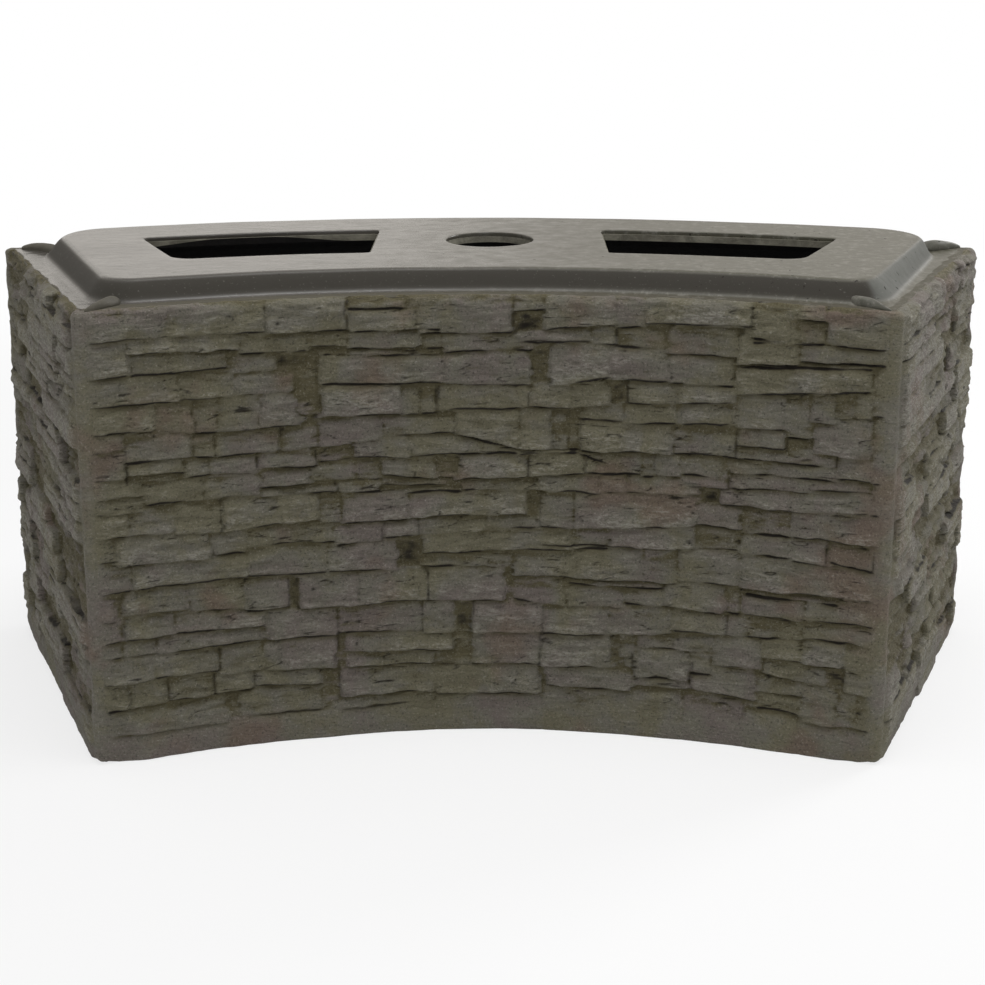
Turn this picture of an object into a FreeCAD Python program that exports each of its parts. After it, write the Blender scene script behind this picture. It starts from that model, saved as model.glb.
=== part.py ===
"""Curved stacked-slate base section of a garden wall fountain, in millimetres.

The section is a hollow shell, open below. Its plan is a slice of a ring: the concave front faces -Y,
the convex rear faces +Y, and the two ends stand on lines through the ring's centre. Each wall is a
slate-textured facing on a plain backing. A smooth deck in two layers closes the top, with a raised
plinth that locates the next section, two hand openings and a round hole for the water pipe.
"""

import FreeCAD
import Part

import math
import os
import random

Vector = FreeCAD.Vector

# Plan of the section, to the mean face of the stones
front_radius = 683.0
section_depth = 293.0
end_angle = 24.6  # degrees from the middle to each end

# Heights
ledge_height = 337.0
plinth_rise = 16.0

# Wall layers
facing_thickness = 7.0
backing_thickness = 6.0

# Stacked stones of the facings
course_low = 11.0
course_high = 23.0
stone_short = 40.0
stone_long = 140.0
stone_proud = 4.5
stone_recess = 3.5
stone_step = 1.0  # between the levels at which stones may stand out
joint_pitch = 5.0  # upright joints of one course miss those of the next by half of this or more
skirt_height = 11.0

# Deck layers and plinth
deck_face_thickness = 3.5
deck_backing_thickness = 5.5
stacking_clearance = 4.0  # between a plinth and the walls of the section that stands on it
end_ledge_front = 19.0  # from an end plane to the plinth's foot, at its front corners
end_ledge_rear = 31.0  # the same at its rear corners
plinth_run = 9.0  # how far the plinth's long sides lean in, up to its bevelled edge
plinth_end_run = 11.0  # the same at its two ends
plinth_edge = 2.5
plinth_front_corner = 26.0
plinth_rear_corner = 54.0

# Openings of the deck
opening_near = 95.0  # from the front face to the near side of a hand opening
opening_depth = 107.0
opening_inner_x = 91.5  # from the middle to the side next to the pipe hole
opening_outer = 95.0  # from the end plane to the outer side
opening_large_corner = 18.0  # at the near outer corner, where a wrist turns
opening_small_corner = 5.0
opening_lip = 1.5  # how far the backing shows inside the face layer
pipe_hole_radius = 35.0
pipe_hole_from_front = 151.0

# Joints between the pieces
bead_corner = 5.0
corner_cove = 20.0  # how far the mortar in a corner of the cavity covers each wall
corner_cove_gap = 8.0  # above the plinth of a section below
deck_cove = 9.0

# How far a cutter reaches past what it cuts, and a solid past where it is trimmed
overshoot = 5.0

# Joints of the front, and the radius and the ledge's height at which its stones were measured
front_joint = 3.0  # from the mean face to the bottom of a joint
measured_radius = 683.0
measured_ledge = 337.0
least_stone = 7.0  # a stone cut shorter than this by a corner seam is left out

# The front's plain foot and its main stones, as the photo shows them. Left end, right end, underside
# and top, along the face from its middle and up from the floor, then how far the stone stands out
# from the mean face. Ends past the end of the face run on to the corner seam.
front_stones = [
    (-300, 300, 0, 20, -0.5),
    (-300, -230, 315, 337, 0), (-228, -160, 314, 337, 0), (-158, -102, 313, 337, 0.5),
    (-100, -52, 328, 337, -2), (-50, 18, 310, 337, 0), (20, 39, 320, 337, -0.5), (41, 92, 314, 337, 0.5),
    (94, 111, 316, 337, 0), (113, 189, 317, 337, 1.5), (191, 221, 310, 337, -0.5), (223, 240, 328, 337, 0),
    (242, 300, 310, 337, 0), (-100, -52, 312, 326, 1), (223, 240, 310, 326, -1.5),
    (132, 179, 298, 315, -0.5), (94, 130, 301, 314, -1.5), (-300, -257, 289, 313, 0.5),
    (-255, -179, 304, 312, 1), (67, 92, 302, 312, -0.5), (-177, -130, 299, 311, 0.5),
    (-128, -102, 297, 311, -1.5), (-100, -52, 296, 310, 0), (-40, 38, 296, 308, -0.5),
    (181, 221, 294, 308, 1), (223, 300, 298, 308, -0.5), (-255, -185, 289, 302, -0.5),
    (40, 88, 273, 300, 2), (90, 130, 275, 299, 0.5), (-183, -145, 286, 297, -1), (132, 178, 275, 296, 0),
    (276, 300, 262, 296, -1), (-140, -123, 250, 295, -2.5), (-121, -32, 273, 294, 0.5),
    (-30, 38, 271, 294, 0), (180, 274, 274, 292, 1), (-300, -222, 268, 287, 0.5),
    (-220, -185, 269, 287, 0), (-183, -142, 269, 284, -1), (95, 138, 259, 273, 0),
    (140, 178, 261, 273, 0.5), (180, 214, 245, 272, 0.5), (216, 232, 240, 272, -1),
    (234, 257, 255, 272, 0), (-121, -56, 250, 271, 1), (62, 93, 256, 271, 1), (-45, 30, 253, 269, 0),
    (32, 60, 253, 269, 0.5), (-211, -197, 243, 267, -0.5), (-195, -166, 242, 267, 0),
    (-164, -142, 244, 267, 0.5), (-300, -240, 248, 266, 0.5), (-238, -213, 244, 266, 0),
    (278, 300, 238, 260, -1), (140, 178, 244, 259, 0.5), (100, 138, 244, 257, 0), (62, 98, 244, 254, 0),
    (237, 276, 230, 253, 0.5), (-23, 22, 228, 251, 0), (24, 54, 220, 251, 0.5), (-124, -78, 229, 248, 0.5),
    (-76, -25, 234, 248, -0.5), (-300, -264, 235, 246, 0.5), (182, 214, 226, 243, 0.5),
    (-262, -215, 226, 242, 0), (-150, -126, 225, 242, -2), (59, 134, 222, 242, 1),
    (136, 180, 223, 242, -0.5), (-213, -200, 226, 241, -1), (-198, -152, 225, 240, -0.5),
    (216, 235, 223, 238, -2), (278, 300, 213, 236, -0.5), (-300, -264, 215, 233, 0),
    (-57, -25, 216, 232, 0), (260, 276, 209, 228, 0), (-124, -100, 216, 227, -2),
    (-98, -59, 216, 227, 0.5), (-13, 22, 219, 226, 0), (-228, -204, 211, 224, -0.5),
    (-202, -169, 211, 223, 0), (-167, -131, 213, 223, -0.5), (141, 172, 205, 221, -1),
    (174, 258, 212, 221, 0), (72, 116, 205, 220, 0), (118, 139, 205, 220, 0), (31, 70, 203, 218, 0.5),
    (-23, 29, 195, 217, 1), (-129, -98, 201, 214, -1), (-96, -81, 201, 214, -1.5), (-79, -31, 201, 214, 0),
    (-300, -251, 201, 213, 0), (-166, -131, 193, 211, 0), (278, 300, 188, 211, 0), (174, 220, 200, 210, 0),
    (-249, -207, 193, 209, -0.5), (-205, -168, 193, 209, 0), (222, 276, 188, 207, 1),
    (84, 100, 189, 203, 1), (102, 161, 189, 203, 0), (33, 82, 189, 201, 0), (-300, -251, 189, 199, -0.5),
    (-119, -72, 191, 199, -0.5), (163, 220, 186, 198, 0.5), (-58, 31, 171, 193, 1),
    (-229, -196, 171, 191, 0), (-194, -125, 170, 191, 1), (-123, -109, 170, 189, -1.5),
    (-107, -60, 168, 189, 0.5), (-300, -263, 171, 187, 0.5), (-261, -231, 171, 187, 0),
    (33, 62, 161, 187, -0.5), (64, 152, 164, 187, 1.5), (222, 300, 167, 186, 1), (154, 183, 168, 184, 0.5),
    (185, 220, 166, 184, -1.5), (-300, -273, 149, 169, -0.5), (-271, -205, 149, 169, 1),
    (-51, -5, 158, 169, 0), (-203, -179, 149, 168, -0.5), (-177, -114, 154, 168, -1),
    (-112, -78, 154, 166, 0), (-76, -53, 154, 166, 0.5), (154, 183, 152, 166, -1.5),
    (223, 248, 148, 165, 1), (250, 300, 148, 165, 0), (187, 221, 148, 164, 0), (64, 88, 149, 162, -0.5),
    (90, 152, 152, 162, 1), (-3, 62, 144, 159, 0.5), (-51, -5, 142, 156, 0), (-176, -120, 130, 152, -0.5),
    (-118, -60, 130, 152, 0.5), (115, 139, 123, 150, -1), (141, 185, 123, 150, 0),
    (-300, -263, 130, 147, 0), (-261, -178, 130, 147, 0.5), (67, 113, 120, 147, 0.5),
    (187, 300, 123, 146, 1), (19, 65, 124, 142, 0), (-57, 17, 132, 140, -1), (-46, 15, 104, 130, 0.5),
    (-300, -272, 109, 128, 0), (-270, -223, 112, 128, 0), (-221, -182, 108, 128, -0.5),
    (-180, -145, 105, 128, 0), (-143, -99, 104, 128, 0.5), (-97, -48, 104, 128, 1),
    (17, 58, 103, 122, -0.5), (131, 181, 105, 121, 0.5), (183, 232, 103, 121, 0),
    (234, 300, 105, 121, 0.5), (60, 100, 105, 118, -0.5), (102, 129, 105, 118, 0),
    (-268, -233, 93, 110, 0.5), (-300, -270, 93, 107, 0), (-231, -200, 92, 106, 0),
    (-198, -167, 92, 103, 0.5), (90, 136, 81, 103, 0), (138, 175, 86, 103, 0.5), (235, 300, 91, 103, -0.5),
    (-165, -114, 80, 102, 0), (-112, -50, 80, 102, 0), (-48, -21, 80, 102, 0.5), (-19, 40, 78, 101, 1),
    (42, 88, 78, 101, 1), (177, 233, 86, 101, -0.5), (-300, -270, 81, 91, -1.5), (-268, -248, 81, 91, -1),
    (-246, -167, 80, 90, 0), (235, 262, 70, 89, 0.5), (264, 300, 53, 89, 0), (168, 202, 62, 84, 0),
    (204, 233, 70, 84, 1), (-300, -250, 60, 79, 0.5), (103, 166, 69, 79, -0.5), (-248, -200, 60, 78, 0),
    (-198, -169, 57, 78, 0), (-167, -112, 56, 78, 0.5), (-110, -21, 60, 78, 0.5), (-19, 37, 54, 76, 0.5),
    (39, 99, 52, 76, 1), (204, 258, 56, 68, -0.5), (110, 150, 41, 67, 0.5), (152, 200, 38, 60, 0),
    (-300, -267, 40, 58, 0), (-265, -241, 40, 58, 0.5), (-239, -206, 40, 58, -0.5),
    (-204, -177, 44, 55, 0), (-175, -120, 44, 54, 0.5), (-118, -43, 32, 54, 0), (202, 233, 44, 54, -0.5),
    (235, 258, 22, 54, 0), (-41, 37, 24, 52, 0.5), (260, 273, 22, 51, -1), (275, 300, 22, 51, -0.5),
    (39, 108, 38, 50, 0.5), (-190, -120, 22, 42, -0.5), (202, 233, 25, 42, -1), (-300, -192, 22, 38, -0.5),
    (39, 146, 22, 36, -0.5), (148, 199, 22, 36, -0.5), (-118, -43, 22, 30, -0.5),
]

# Small stubs on the ledge, one at each corner of the plinth
stub_radius = 5.5
stub_tip = 8.0  # from the faces to the tip
stub_front_root = (23.0, 45.0)  # from the front face and from the end plane to the middle of the root
stub_rear_root = (40.0, 50.0)  # from the rear face and from the end plane to the middle of the root

# Worked out from the sizes above
rear_radius = front_radius + section_depth
wall_thickness = facing_thickness + backing_thickness
deck_thickness = deck_face_thickness + deck_backing_thickness
side_ledge = wall_thickness + stacking_clearance
seat_height = ledge_height - deck_thickness
turn = math.radians(end_angle)
side_rise = plinth_rise - plinth_edge
side_slant = math.hypot(plinth_run, side_rise) / side_rise
end_slant = math.hypot(plinth_end_run, side_rise) / side_rise

LEFT, RIGHT = -1, 1


def on_plan(radius, inset, side, z=0.0):
    """The point at this radius that lies inset from the end plane on this side."""
    along = math.sqrt(radius**2 - inset**2)
    x = along * math.sin(turn) - inset * math.cos(turn)
    y = along * math.cos(turn) + inset * math.sin(turn)
    return Vector(side * x, y, z)


def at_angle(radius, angle, z=0.0):
    """The point at this radius and this angle in radians from the middle, positive to the right."""
    return Vector(radius * math.sin(angle), radius * math.cos(angle), z)


def angle_at(radius, inset):
    """The angle in radians at which a radius meets the line that lies inset from an end plane."""
    return turn - math.asin(inset / radius)


def line(start, end):
    return Part.LineSegment(start, end).toShape()


def arc(start, middle, end):
    return Part.Arc(start, middle, end).toShape()


def ring_arc(radius, first, last, z=0.0):
    """The arc at this radius from one angle in radians to another."""
    return arc(at_angle(radius, first, z), at_angle(radius, (first + last) / 2, z), at_angle(radius, last, z))


def prism(edges, height):
    """The solid above a closed outline of edges given in order."""
    return Part.Face(Part.Wire(edges)).extrude(Vector(0, 0, height))


def ring_block(near, far, inset, z_low, z_high):
    """A slice of the ring between two radii, cut off inset from both end planes."""
    near_angle = angle_at(near, inset)
    far_angle = angle_at(far, inset)
    edges = [
        ring_arc(near, -near_angle, near_angle, z_low),
        line(on_plan(near, inset, RIGHT, z_low), on_plan(far, inset, RIGHT, z_low)),
        ring_arc(far, far_angle, -far_angle, z_low),
        line(on_plan(far, inset, LEFT, z_low), on_plan(near, inset, LEFT, z_low)),
    ]
    return prism(edges, z_high - z_low)


def end_block(near, far, outer, inner, side, z_low, z_high):
    """A slab along one end plane, between two insets from it and between two radii."""
    middle = (outer + inner) / 2
    edges = [
        line(on_plan(near, outer, side, z_low), on_plan(far, outer, side, z_low)),
        arc(*(on_plan(far, inset, side, z_low) for inset in (outer, middle, inner))),
        line(on_plan(far, inner, side, z_low), on_plan(near, inner, side, z_low)),
        arc(*(on_plan(near, inset, side, z_low) for inset in (inner, middle, outer))),
    ]
    return prism(edges, z_high - z_low)


def corner_arc(radius, inset, rounding, side, z=0.0, far=False):
    """Three points of the arc that rounds the corner of a ring's side and an end line, ring's side first."""
    centre_radius = radius - rounding if far else radius + rounding
    centre = on_plan(centre_radius, inset + rounding, side, z)
    ring_centre = Vector(0, 0, z)
    on_ring = ring_centre + (centre - ring_centre) * (radius / centre_radius)
    along = math.sqrt(centre_radius**2 - (inset + rounding) ** 2)
    on_end = on_plan(math.hypot(along, inset), inset, side, z)
    towards_corner = (on_ring - centre) + (on_end - centre)
    middle = centre + towards_corner.normalize() * rounding
    return on_ring, middle, on_end


def rounded_outline(side_inset, near_corner, far_corner, z):
    """The closed outline of a slice of the ring, set in from its faces, with four round corners.

    Each corner is given by its inset from the end plane and by its rounding.
    """
    near = front_radius + side_inset
    far = rear_radius - side_inset
    corners = {
        (radius, side): corner_arc(radius, *corner, side, z, far=radius == far)
        for radius, corner in ((near, near_corner), (far, far_corner))
        for side in (LEFT, RIGHT)
    }
    near_left, near_right = corners[near, LEFT], corners[near, RIGHT]
    far_left, far_right = corners[far, LEFT], corners[far, RIGHT]
    edges = [
        arc(near_left[0], at_angle(near, 0, z), near_right[0]),
        arc(*near_right),
        line(near_right[2], far_right[2]),
        arc(*reversed(far_right)),
        arc(far_right[0], at_angle(far, 0, z), far_left[0]),
        arc(*far_left),
        line(far_left[2], near_left[2]),
        arc(*reversed(near_left)),
    ]
    return Part.Wire(edges)


def plinth_block(depth):
    """The plinth's solid at this depth below its surface, carried down through the ledge."""
    low = seat_height - overshoot
    high = ledge_height + plinth_rise - depth
    wires = []
    for z, bevel in ((low, 0.0), (high - plinth_edge, 0.0), (high, plinth_edge)):
        risen = (z - bevel - ledge_height) / side_rise
        lean = plinth_run * risen + depth * side_slant + bevel
        end_lean = plinth_end_run * risen + depth * end_slant + bevel
        near_corner = (end_ledge_front + end_lean, plinth_front_corner - lean)
        far_corner = (end_ledge_rear + end_lean, plinth_rear_corner - lean)
        wires.append(rounded_outline(side_ledge + lean, near_corner, far_corner, z))
    return Part.makeLoft(wires, True, True)


def above(shape, z):
    """The part of a shape that lies above a height."""
    reach = 4 * rear_radius
    keep = Part.makeBox(reach, reach, reach, Vector(-reach / 2, -reach / 2, z))
    return shape.common(keep)


def course_heights(dice):
    """Heights of the courses of stone, bottom first, that fill a wall above its plain skirt."""
    to_fill = ledge_height - skirt_height
    heights = []
    while sum(heights) < to_fill - course_low:
        heights.append(dice.uniform(course_low, course_high))
    scale = to_fill / sum(heights)
    return [skirt_height] + [height * scale for height in heights]


def stone_ends(length, course, dice):
    """Places along a course where one stone stops and the next starts, with both ends of the course."""
    shift = joint_pitch / 2 * (course % 2)
    ends = [0.0]
    while length - ends[-1] > stone_long + stone_short:
        joint = ends[-1] + dice.uniform(stone_short, stone_long)
        ends.append(joint_pitch * round(joint / joint_pitch) + shift)
    middle = (ends[-1] + length) / 2
    ends.append(joint_pitch * round(middle / joint_pitch) + shift)
    return ends + [length]


def stone_faces(count, dice):
    """How far each stone of a course stands out from the mean face, no two neighbours alike."""
    levels = round((stone_proud + stone_recess) / stone_step)
    faces = []
    while len(faces) < count:
        face = stone_step * dice.randint(0, levels) - stone_recess
        if face not in faces[-1:]:
            faces.append(face)
    return faces


def rear_course(side, course, z, height, dice):
    """One course of the rear facing, between the corner seams."""
    back = rear_radius - facing_thickness
    mean = rear_radius
    reach = angle_at(mean, facing_thickness)
    ends = [end / mean - reach for end in stone_ends(2 * reach * mean, course, dice)]
    faces = [mean + face for face in stone_faces(len(ends) - 1, dice)]
    left, right = on_plan(back, facing_thickness, LEFT, z), on_plan(back, facing_thickness, RIGHT, z)
    edges = [arc(left, at_angle(back, 0, z), right)]
    here = right
    for index in reversed(range(len(faces))):
        radius = faces[index]
        last = index == len(faces) - 1
        first = index == 0
        start = on_plan(radius, facing_thickness, RIGHT, z) if last else at_angle(radius, ends[index + 1], z)
        end = on_plan(radius, facing_thickness, LEFT, z) if first else at_angle(radius, ends[index], z)
        edges.append(line(here, start))
        edges.append(arc(start, at_angle(radius, (ends[index] + ends[index + 1]) / 2, z), end))
        here = end
    edges.append(line(here, left))
    return prism(edges, height)


def end_course(side, course, z, height, dice):
    """One course of an end facing, between the corner seams."""
    start_along = front_radius + facing_thickness
    end_along = math.sqrt((rear_radius - facing_thickness) ** 2 - facing_thickness**2)
    ends = [start_along + end for end in stone_ends(end_along - start_along, course, dice)]
    faces = stone_faces(len(ends) - 1, dice)

    def spot(along, inset):
        return on_plan(math.hypot(along, inset), inset, side, z)

    points = [spot(start_along, facing_thickness)]
    for index, face in enumerate(faces):
        points += [spot(ends[index], -face), spot(ends[index + 1], -face)]
    points.append(spot(end_along, facing_thickness))
    edges = [line(a, b) for a, b in zip(points, points[1:] + points[:1])]
    return prism(edges, height)


def front_stone(start, end, low, high, face):
    """A stone of the front, let into the slab behind it and cut off at the corner seams, or None."""
    low, high = (height * ledge_height / measured_ledge for height in (low, high))
    reach = angle_at(front_radius, facing_thickness)
    first, last = start / measured_radius, end / measured_radius
    if min(last, reach) - max(first, -reach) < least_stone / front_radius:
        return None
    near, far = front_radius - face, front_radius + (front_joint + facing_thickness) / 2
    middle = (max(first, -reach) + min(last, reach)) / 2

    def spot(radius, angle):
        if abs(angle) < reach:
            return at_angle(radius, angle, low)
        return on_plan(radius, facing_thickness, LEFT if angle < 0 else RIGHT, low)

    edges = [
        arc(spot(near, first), at_angle(near, middle, low), spot(near, last)),
        line(spot(near, last), spot(far, last)),
        arc(spot(far, last), at_angle(far, middle, low), spot(far, first)),
        line(spot(far, first), spot(near, first)),
    ]
    return prism(edges, high - low)


def stone_front():
    """The front facing: a slab at the depth of the joints, with the measured stones standing out."""
    near, far = front_radius + front_joint, front_radius + facing_thickness
    slab = ring_block(near, far, facing_thickness, 0.0, ledge_height)
    stones = [front_stone(*stone) for stone in front_stones]
    return slab.multiFuse([stone for stone in stones if stone]).removeSplitter()


def facing(make_course, side, seed):
    """A whole facing: its courses from the floor up to the ledge, as one solid."""
    dice = random.Random(seed)
    courses = []
    z = 0.0
    for course, height in enumerate(course_heights(dice)):
        courses.append(make_course(side, course, z, height, dice))
        z += height
    return courses[0].multiFuse(courses[1:]).removeSplitter()


def corner_bead(radius, side, far):
    """The dressed seam at an outer corner, a strip from the floor to the ledge with a round nose."""
    back = radius - facing_thickness if far else radius + facing_thickness
    nose = corner_arc(radius, 0.0, bead_corner, side, 0.0, far)
    edges = [
        line(on_plan(back, 0.0, side), on_plan(back, facing_thickness, side)),
        line(on_plan(back, facing_thickness, side), on_plan(radius, facing_thickness, side)),
        line(on_plan(radius, facing_thickness, side), nose[0]),
        arc(*nose),
        line(nose[2], on_plan(back, 0.0, side)),
    ]
    return prism(edges, ledge_height)


def inner_corner_cove(radius, side, far):
    """The mortar fillet in an upright corner of the cavity, clear of the plinth of a section below."""
    low = plinth_rise + corner_cove_gap
    corner = on_plan(radius, wall_thickness, side, low)
    inwards = -corner_cove if far else corner_cove
    along = math.sqrt(radius**2 - wall_thickness**2) + inwards
    on_end = on_plan(math.hypot(along, wall_thickness), wall_thickness, side, low)
    corner_angle = angle_at(radius, wall_thickness)
    ring_angle = corner_angle - corner_cove / radius
    on_ring = at_angle(radius, side * ring_angle, low)
    edges = [
        ring_arc(radius, side * corner_angle, side * ring_angle, low),
        line(on_ring, on_end),
        line(on_end, corner),
    ]
    return prism(edges, seat_height - low)


def cove_profile(wall, outwards):
    """The section of a mortar fillet under the deck, drawn in a plane of x outwards and z up."""
    corner = Vector(wall, 0, seat_height)
    on_deck = Vector(wall + outwards * deck_cove, 0, seat_height)
    on_wall = Vector(wall, 0, seat_height - deck_cove)
    return Part.Face(Part.Wire([line(corner, on_deck), line(on_deck, on_wall), line(on_wall, corner)]))


def side_cove(radius, outwards):
    """The fillet under the deck along the front or rear wall, before its ends are trimmed."""
    profile = cove_profile(radius, outwards)
    profile.rotate(Vector(0, 0, 0), Vector(0, 0, 1), 90 - end_angle)
    return profile.revolve(Vector(0, 0, 0), Vector(0, 0, 1), 2 * end_angle)


def end_cove(side):
    """The fillet under the deck along an end wall, before its ends are trimmed."""
    profile = cove_profile(-wall_thickness, -1)
    strip = profile.extrude(Vector(0, rear_radius, 0))
    strip.rotate(Vector(0, 0, 0), Vector(0, 0, 1), -end_angle)
    if side == LEFT:
        strip = strip.mirror(Vector(0, 0, 0), Vector(1, 0, 0))
    return strip


def ledge_stub(side, far):
    """A short rounded stub on the ledge that points out from a corner of the plinth."""
    tip = stub_tip + stub_radius
    tip_radius = rear_radius - tip if far else front_radius + tip
    root_side, root_end = stub_rear_root if far else stub_front_root
    root_radius = rear_radius - root_side if far else front_radius + root_side
    start = on_plan(tip_radius, tip, side, ledge_height)
    way = on_plan(root_radius, root_end, side, ledge_height) - start
    bar = Part.makeCylinder(stub_radius, way.Length, start, way)
    return above(bar.fuse(Part.makeSphere(stub_radius, start)), ledge_height).removeSplitter()


def upright_edge(block, corner):
    """The vertical edge of a block that stands over a corner of its outline."""
    for edge in block.Edges:
        away = edge.CenterOfMass - corner
        if math.hypot(away.x, away.y) < 0.01:
            return edge
    raise ValueError("no upright edge at this corner")


def hand_opening(side, lip, z_low, z_high):
    """The cutter of a hand opening, whose outer side lies along the end of the section."""
    near = front_radius + opening_near + lip
    far = front_radius + opening_near + opening_depth - lip
    inner_x = opening_inner_x + lip
    outer = opening_outer + lip
    corners = [
        at_angle(near, side * math.asin(inner_x / near), z_low),
        on_plan(near, outer, side, z_low),
        on_plan(far, outer, side, z_low),
        at_angle(far, side * math.asin(inner_x / far), z_low),
    ]
    near_inner, near_outer, far_outer, far_inner = corners
    edges = [
        ring_arc(near, side * math.asin(inner_x / near), side * angle_at(near, outer), z_low),
        line(near_outer, far_outer),
        ring_arc(far, side * angle_at(far, outer), side * math.asin(inner_x / far), z_low),
        line(far_inner, near_inner),
    ]
    block = prism(edges, z_high - z_low)
    block = block.makeFillet(opening_large_corner - lip, [upright_edge(block, near_outer)])
    small = [upright_edge(block, corner) for corner in (near_inner, far_outer, far_inner)]
    return block.makeFillet(opening_small_corner - lip, small)


def deck_layer(outer_depth, inner_depth, lip):
    """One layer of the deck: its ledge and plinth between two depths below the deck's surface."""
    top = ledge_height - outer_depth
    ledge = ring_block(
        front_radius + facing_thickness,
        rear_radius - facing_thickness,
        facing_thickness,
        ledge_height - inner_depth,
        top,
    )
    plinth = above(plinth_block(outer_depth), top - deck_face_thickness / 2)
    layer = ledge.fuse(plinth).cut(plinth_block(inner_depth))
    z_low, z_high = seat_height - overshoot, ledge_height + plinth_rise + overshoot
    for side in (LEFT, RIGHT):
        layer = layer.cut(hand_opening(side, lip, z_low, z_high))
    pipe_centre = at_angle(front_radius + pipe_hole_from_front, 0, z_low)
    pipe_hole = Part.makeCylinder(pipe_hole_radius, z_high - z_low, pipe_centre)
    return layer.cut(pipe_hole).removeSplitter()


def build():
    """Every piece of the section by name, with the centre of its plan's arcs on the Z axis."""
    pieces = {}

    pieces["deck_face"] = deck_layer(0.0, deck_face_thickness, 0.0)
    pieces["deck_backing"] = deck_layer(deck_face_thickness, deck_thickness, opening_lip)

    pieces["front_facing"] = stone_front()
    pieces["rear_facing"] = facing(rear_course, 1, 11)
    pieces["left_end_facing"] = facing(end_course, LEFT, 23)
    pieces["right_end_facing"] = facing(end_course, RIGHT, 37)

    front_inner = front_radius + wall_thickness
    rear_inner = rear_radius - wall_thickness
    front_back, rear_back = front_radius + facing_thickness, rear_radius - facing_thickness
    pieces["front_backing"] = ring_block(front_back, front_inner, facing_thickness, 0.0, seat_height)
    pieces["rear_backing"] = ring_block(rear_inner, rear_back, facing_thickness, 0.0, seat_height)
    for side, name in ((LEFT, "left"), (RIGHT, "right")):
        pieces[name + "_end_backing"] = end_block(
            front_inner, rear_inner, facing_thickness, wall_thickness, side, 0.0, seat_height
        )

    cavity = ring_block(front_inner, rear_inner, wall_thickness, 0.0, seat_height)
    coves = {}
    for side, side_name in ((LEFT, "left"), (RIGHT, "right")):
        for far, far_name in ((False, "front"), (True, "rear")):
            where = far_name + "_" + side_name
            pieces["corner_bead_" + where] = corner_bead(rear_radius if far else front_radius, side, far)
            cove = inner_corner_cove(rear_inner if far else front_inner, side, far)
            coves[where] = cove
            pieces["corner_cove_" + where] = cove
            stub = ledge_stub(side, far).cut(plinth_block(0.0))
            pieces["ledge_stub_" + where] = stub.removeSplitter()

    long_coves = {
        "front": side_cove(front_inner, 1).common(cavity),
        "rear": side_cove(rear_inner, -1).common(cavity),
    }
    for name, cove in long_coves.items():
        pieces["deck_cove_" + name] = cove.cut(list(coves.values()))
    for side, name in ((LEFT, "left_end"), (RIGHT, "right_end")):
        cove = end_cove(side).common(cavity)
        pieces["deck_cove_" + name] = cove.cut(list(coves.values()) + list(long_coves.values()))
    return pieces


def main():
    os.makedirs("parts", exist_ok=True)
    pieces = build()
    whole = Part.makeCompound(list(pieces.values())).optimalBoundingBox(False, False)
    to_origin = Vector(0, -whole.Center.y, 0)
    print("arc centre at y", round(to_origin.y, 3))
    print("overall", round(whole.XLength, 2), round(whole.YLength, 2), round(whole.ZLength, 2))
    for name, shape in pieces.items():
        shape.translate(to_origin)
        solids = shape.Solids
        print(name, len(solids), "solid", round(shape.Volume / 1000.0, 1), "cm3", shape.isValid())
        whole = solids[0] if len(solids) == 1 else Part.makeCompound(solids)
        whole.exportStep(os.path.join("parts", name + ".step"))


main()
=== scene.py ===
import math
import random

import bmesh
import bpy
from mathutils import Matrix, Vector, noise


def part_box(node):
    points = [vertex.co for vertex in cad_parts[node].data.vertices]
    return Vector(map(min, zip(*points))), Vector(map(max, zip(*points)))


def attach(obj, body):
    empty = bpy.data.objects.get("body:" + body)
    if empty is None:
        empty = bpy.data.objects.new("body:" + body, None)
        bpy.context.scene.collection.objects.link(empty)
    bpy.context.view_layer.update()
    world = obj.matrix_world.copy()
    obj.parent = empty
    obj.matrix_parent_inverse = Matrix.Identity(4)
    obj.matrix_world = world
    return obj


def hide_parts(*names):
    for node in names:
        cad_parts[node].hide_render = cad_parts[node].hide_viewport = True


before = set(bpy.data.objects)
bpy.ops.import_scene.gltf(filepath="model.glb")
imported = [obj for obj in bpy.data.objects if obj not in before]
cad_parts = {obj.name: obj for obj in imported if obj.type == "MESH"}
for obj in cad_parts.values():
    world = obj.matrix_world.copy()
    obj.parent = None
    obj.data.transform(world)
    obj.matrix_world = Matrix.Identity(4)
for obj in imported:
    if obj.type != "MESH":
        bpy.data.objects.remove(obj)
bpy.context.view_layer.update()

# Everything below is worked out in millimetres and turned into metres as a piece is placed
mm = 0.001

# Plan of the section: a slice of a ring whose centre lies in front of it
plan = {
    "frontRadius": 683.0,
    "rearRadius": 976.0,
    "turn": math.radians(24.6),
    "facing": 7.0,
}
plan["ringY"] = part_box("deck_face")[1].y / mm - (plan["rearRadius"] - plan["facing"])
plan["ledgeZ"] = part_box("corner_bead_front_left")[1].z / mm
plan["topZ"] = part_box("deck_face")[1].z / mm
left, right = -1, 1


def ringPoint(radius, angle, z):
    x = radius * math.sin(angle)
    y = plan["ringY"] + radius * math.cos(angle)
    return Vector((x, y, z)) * mm


def endPoint(along, inset, side, z):
    # along runs from the ring's centre along an end, inset goes into the section from that end
    sine, cosine = math.sin(plan["turn"]), math.cos(plan["turn"])
    x = along * sine - inset * cosine
    y = plan["ringY"] + along * cosine + inset * sine
    return Vector((side * x, y, z)) * mm


def smoothStep(value, low, high):
    share = min(max((value - low) / (high - low), 0.0), 1.0)
    return share * share * (3 - 2 * share)


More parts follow.
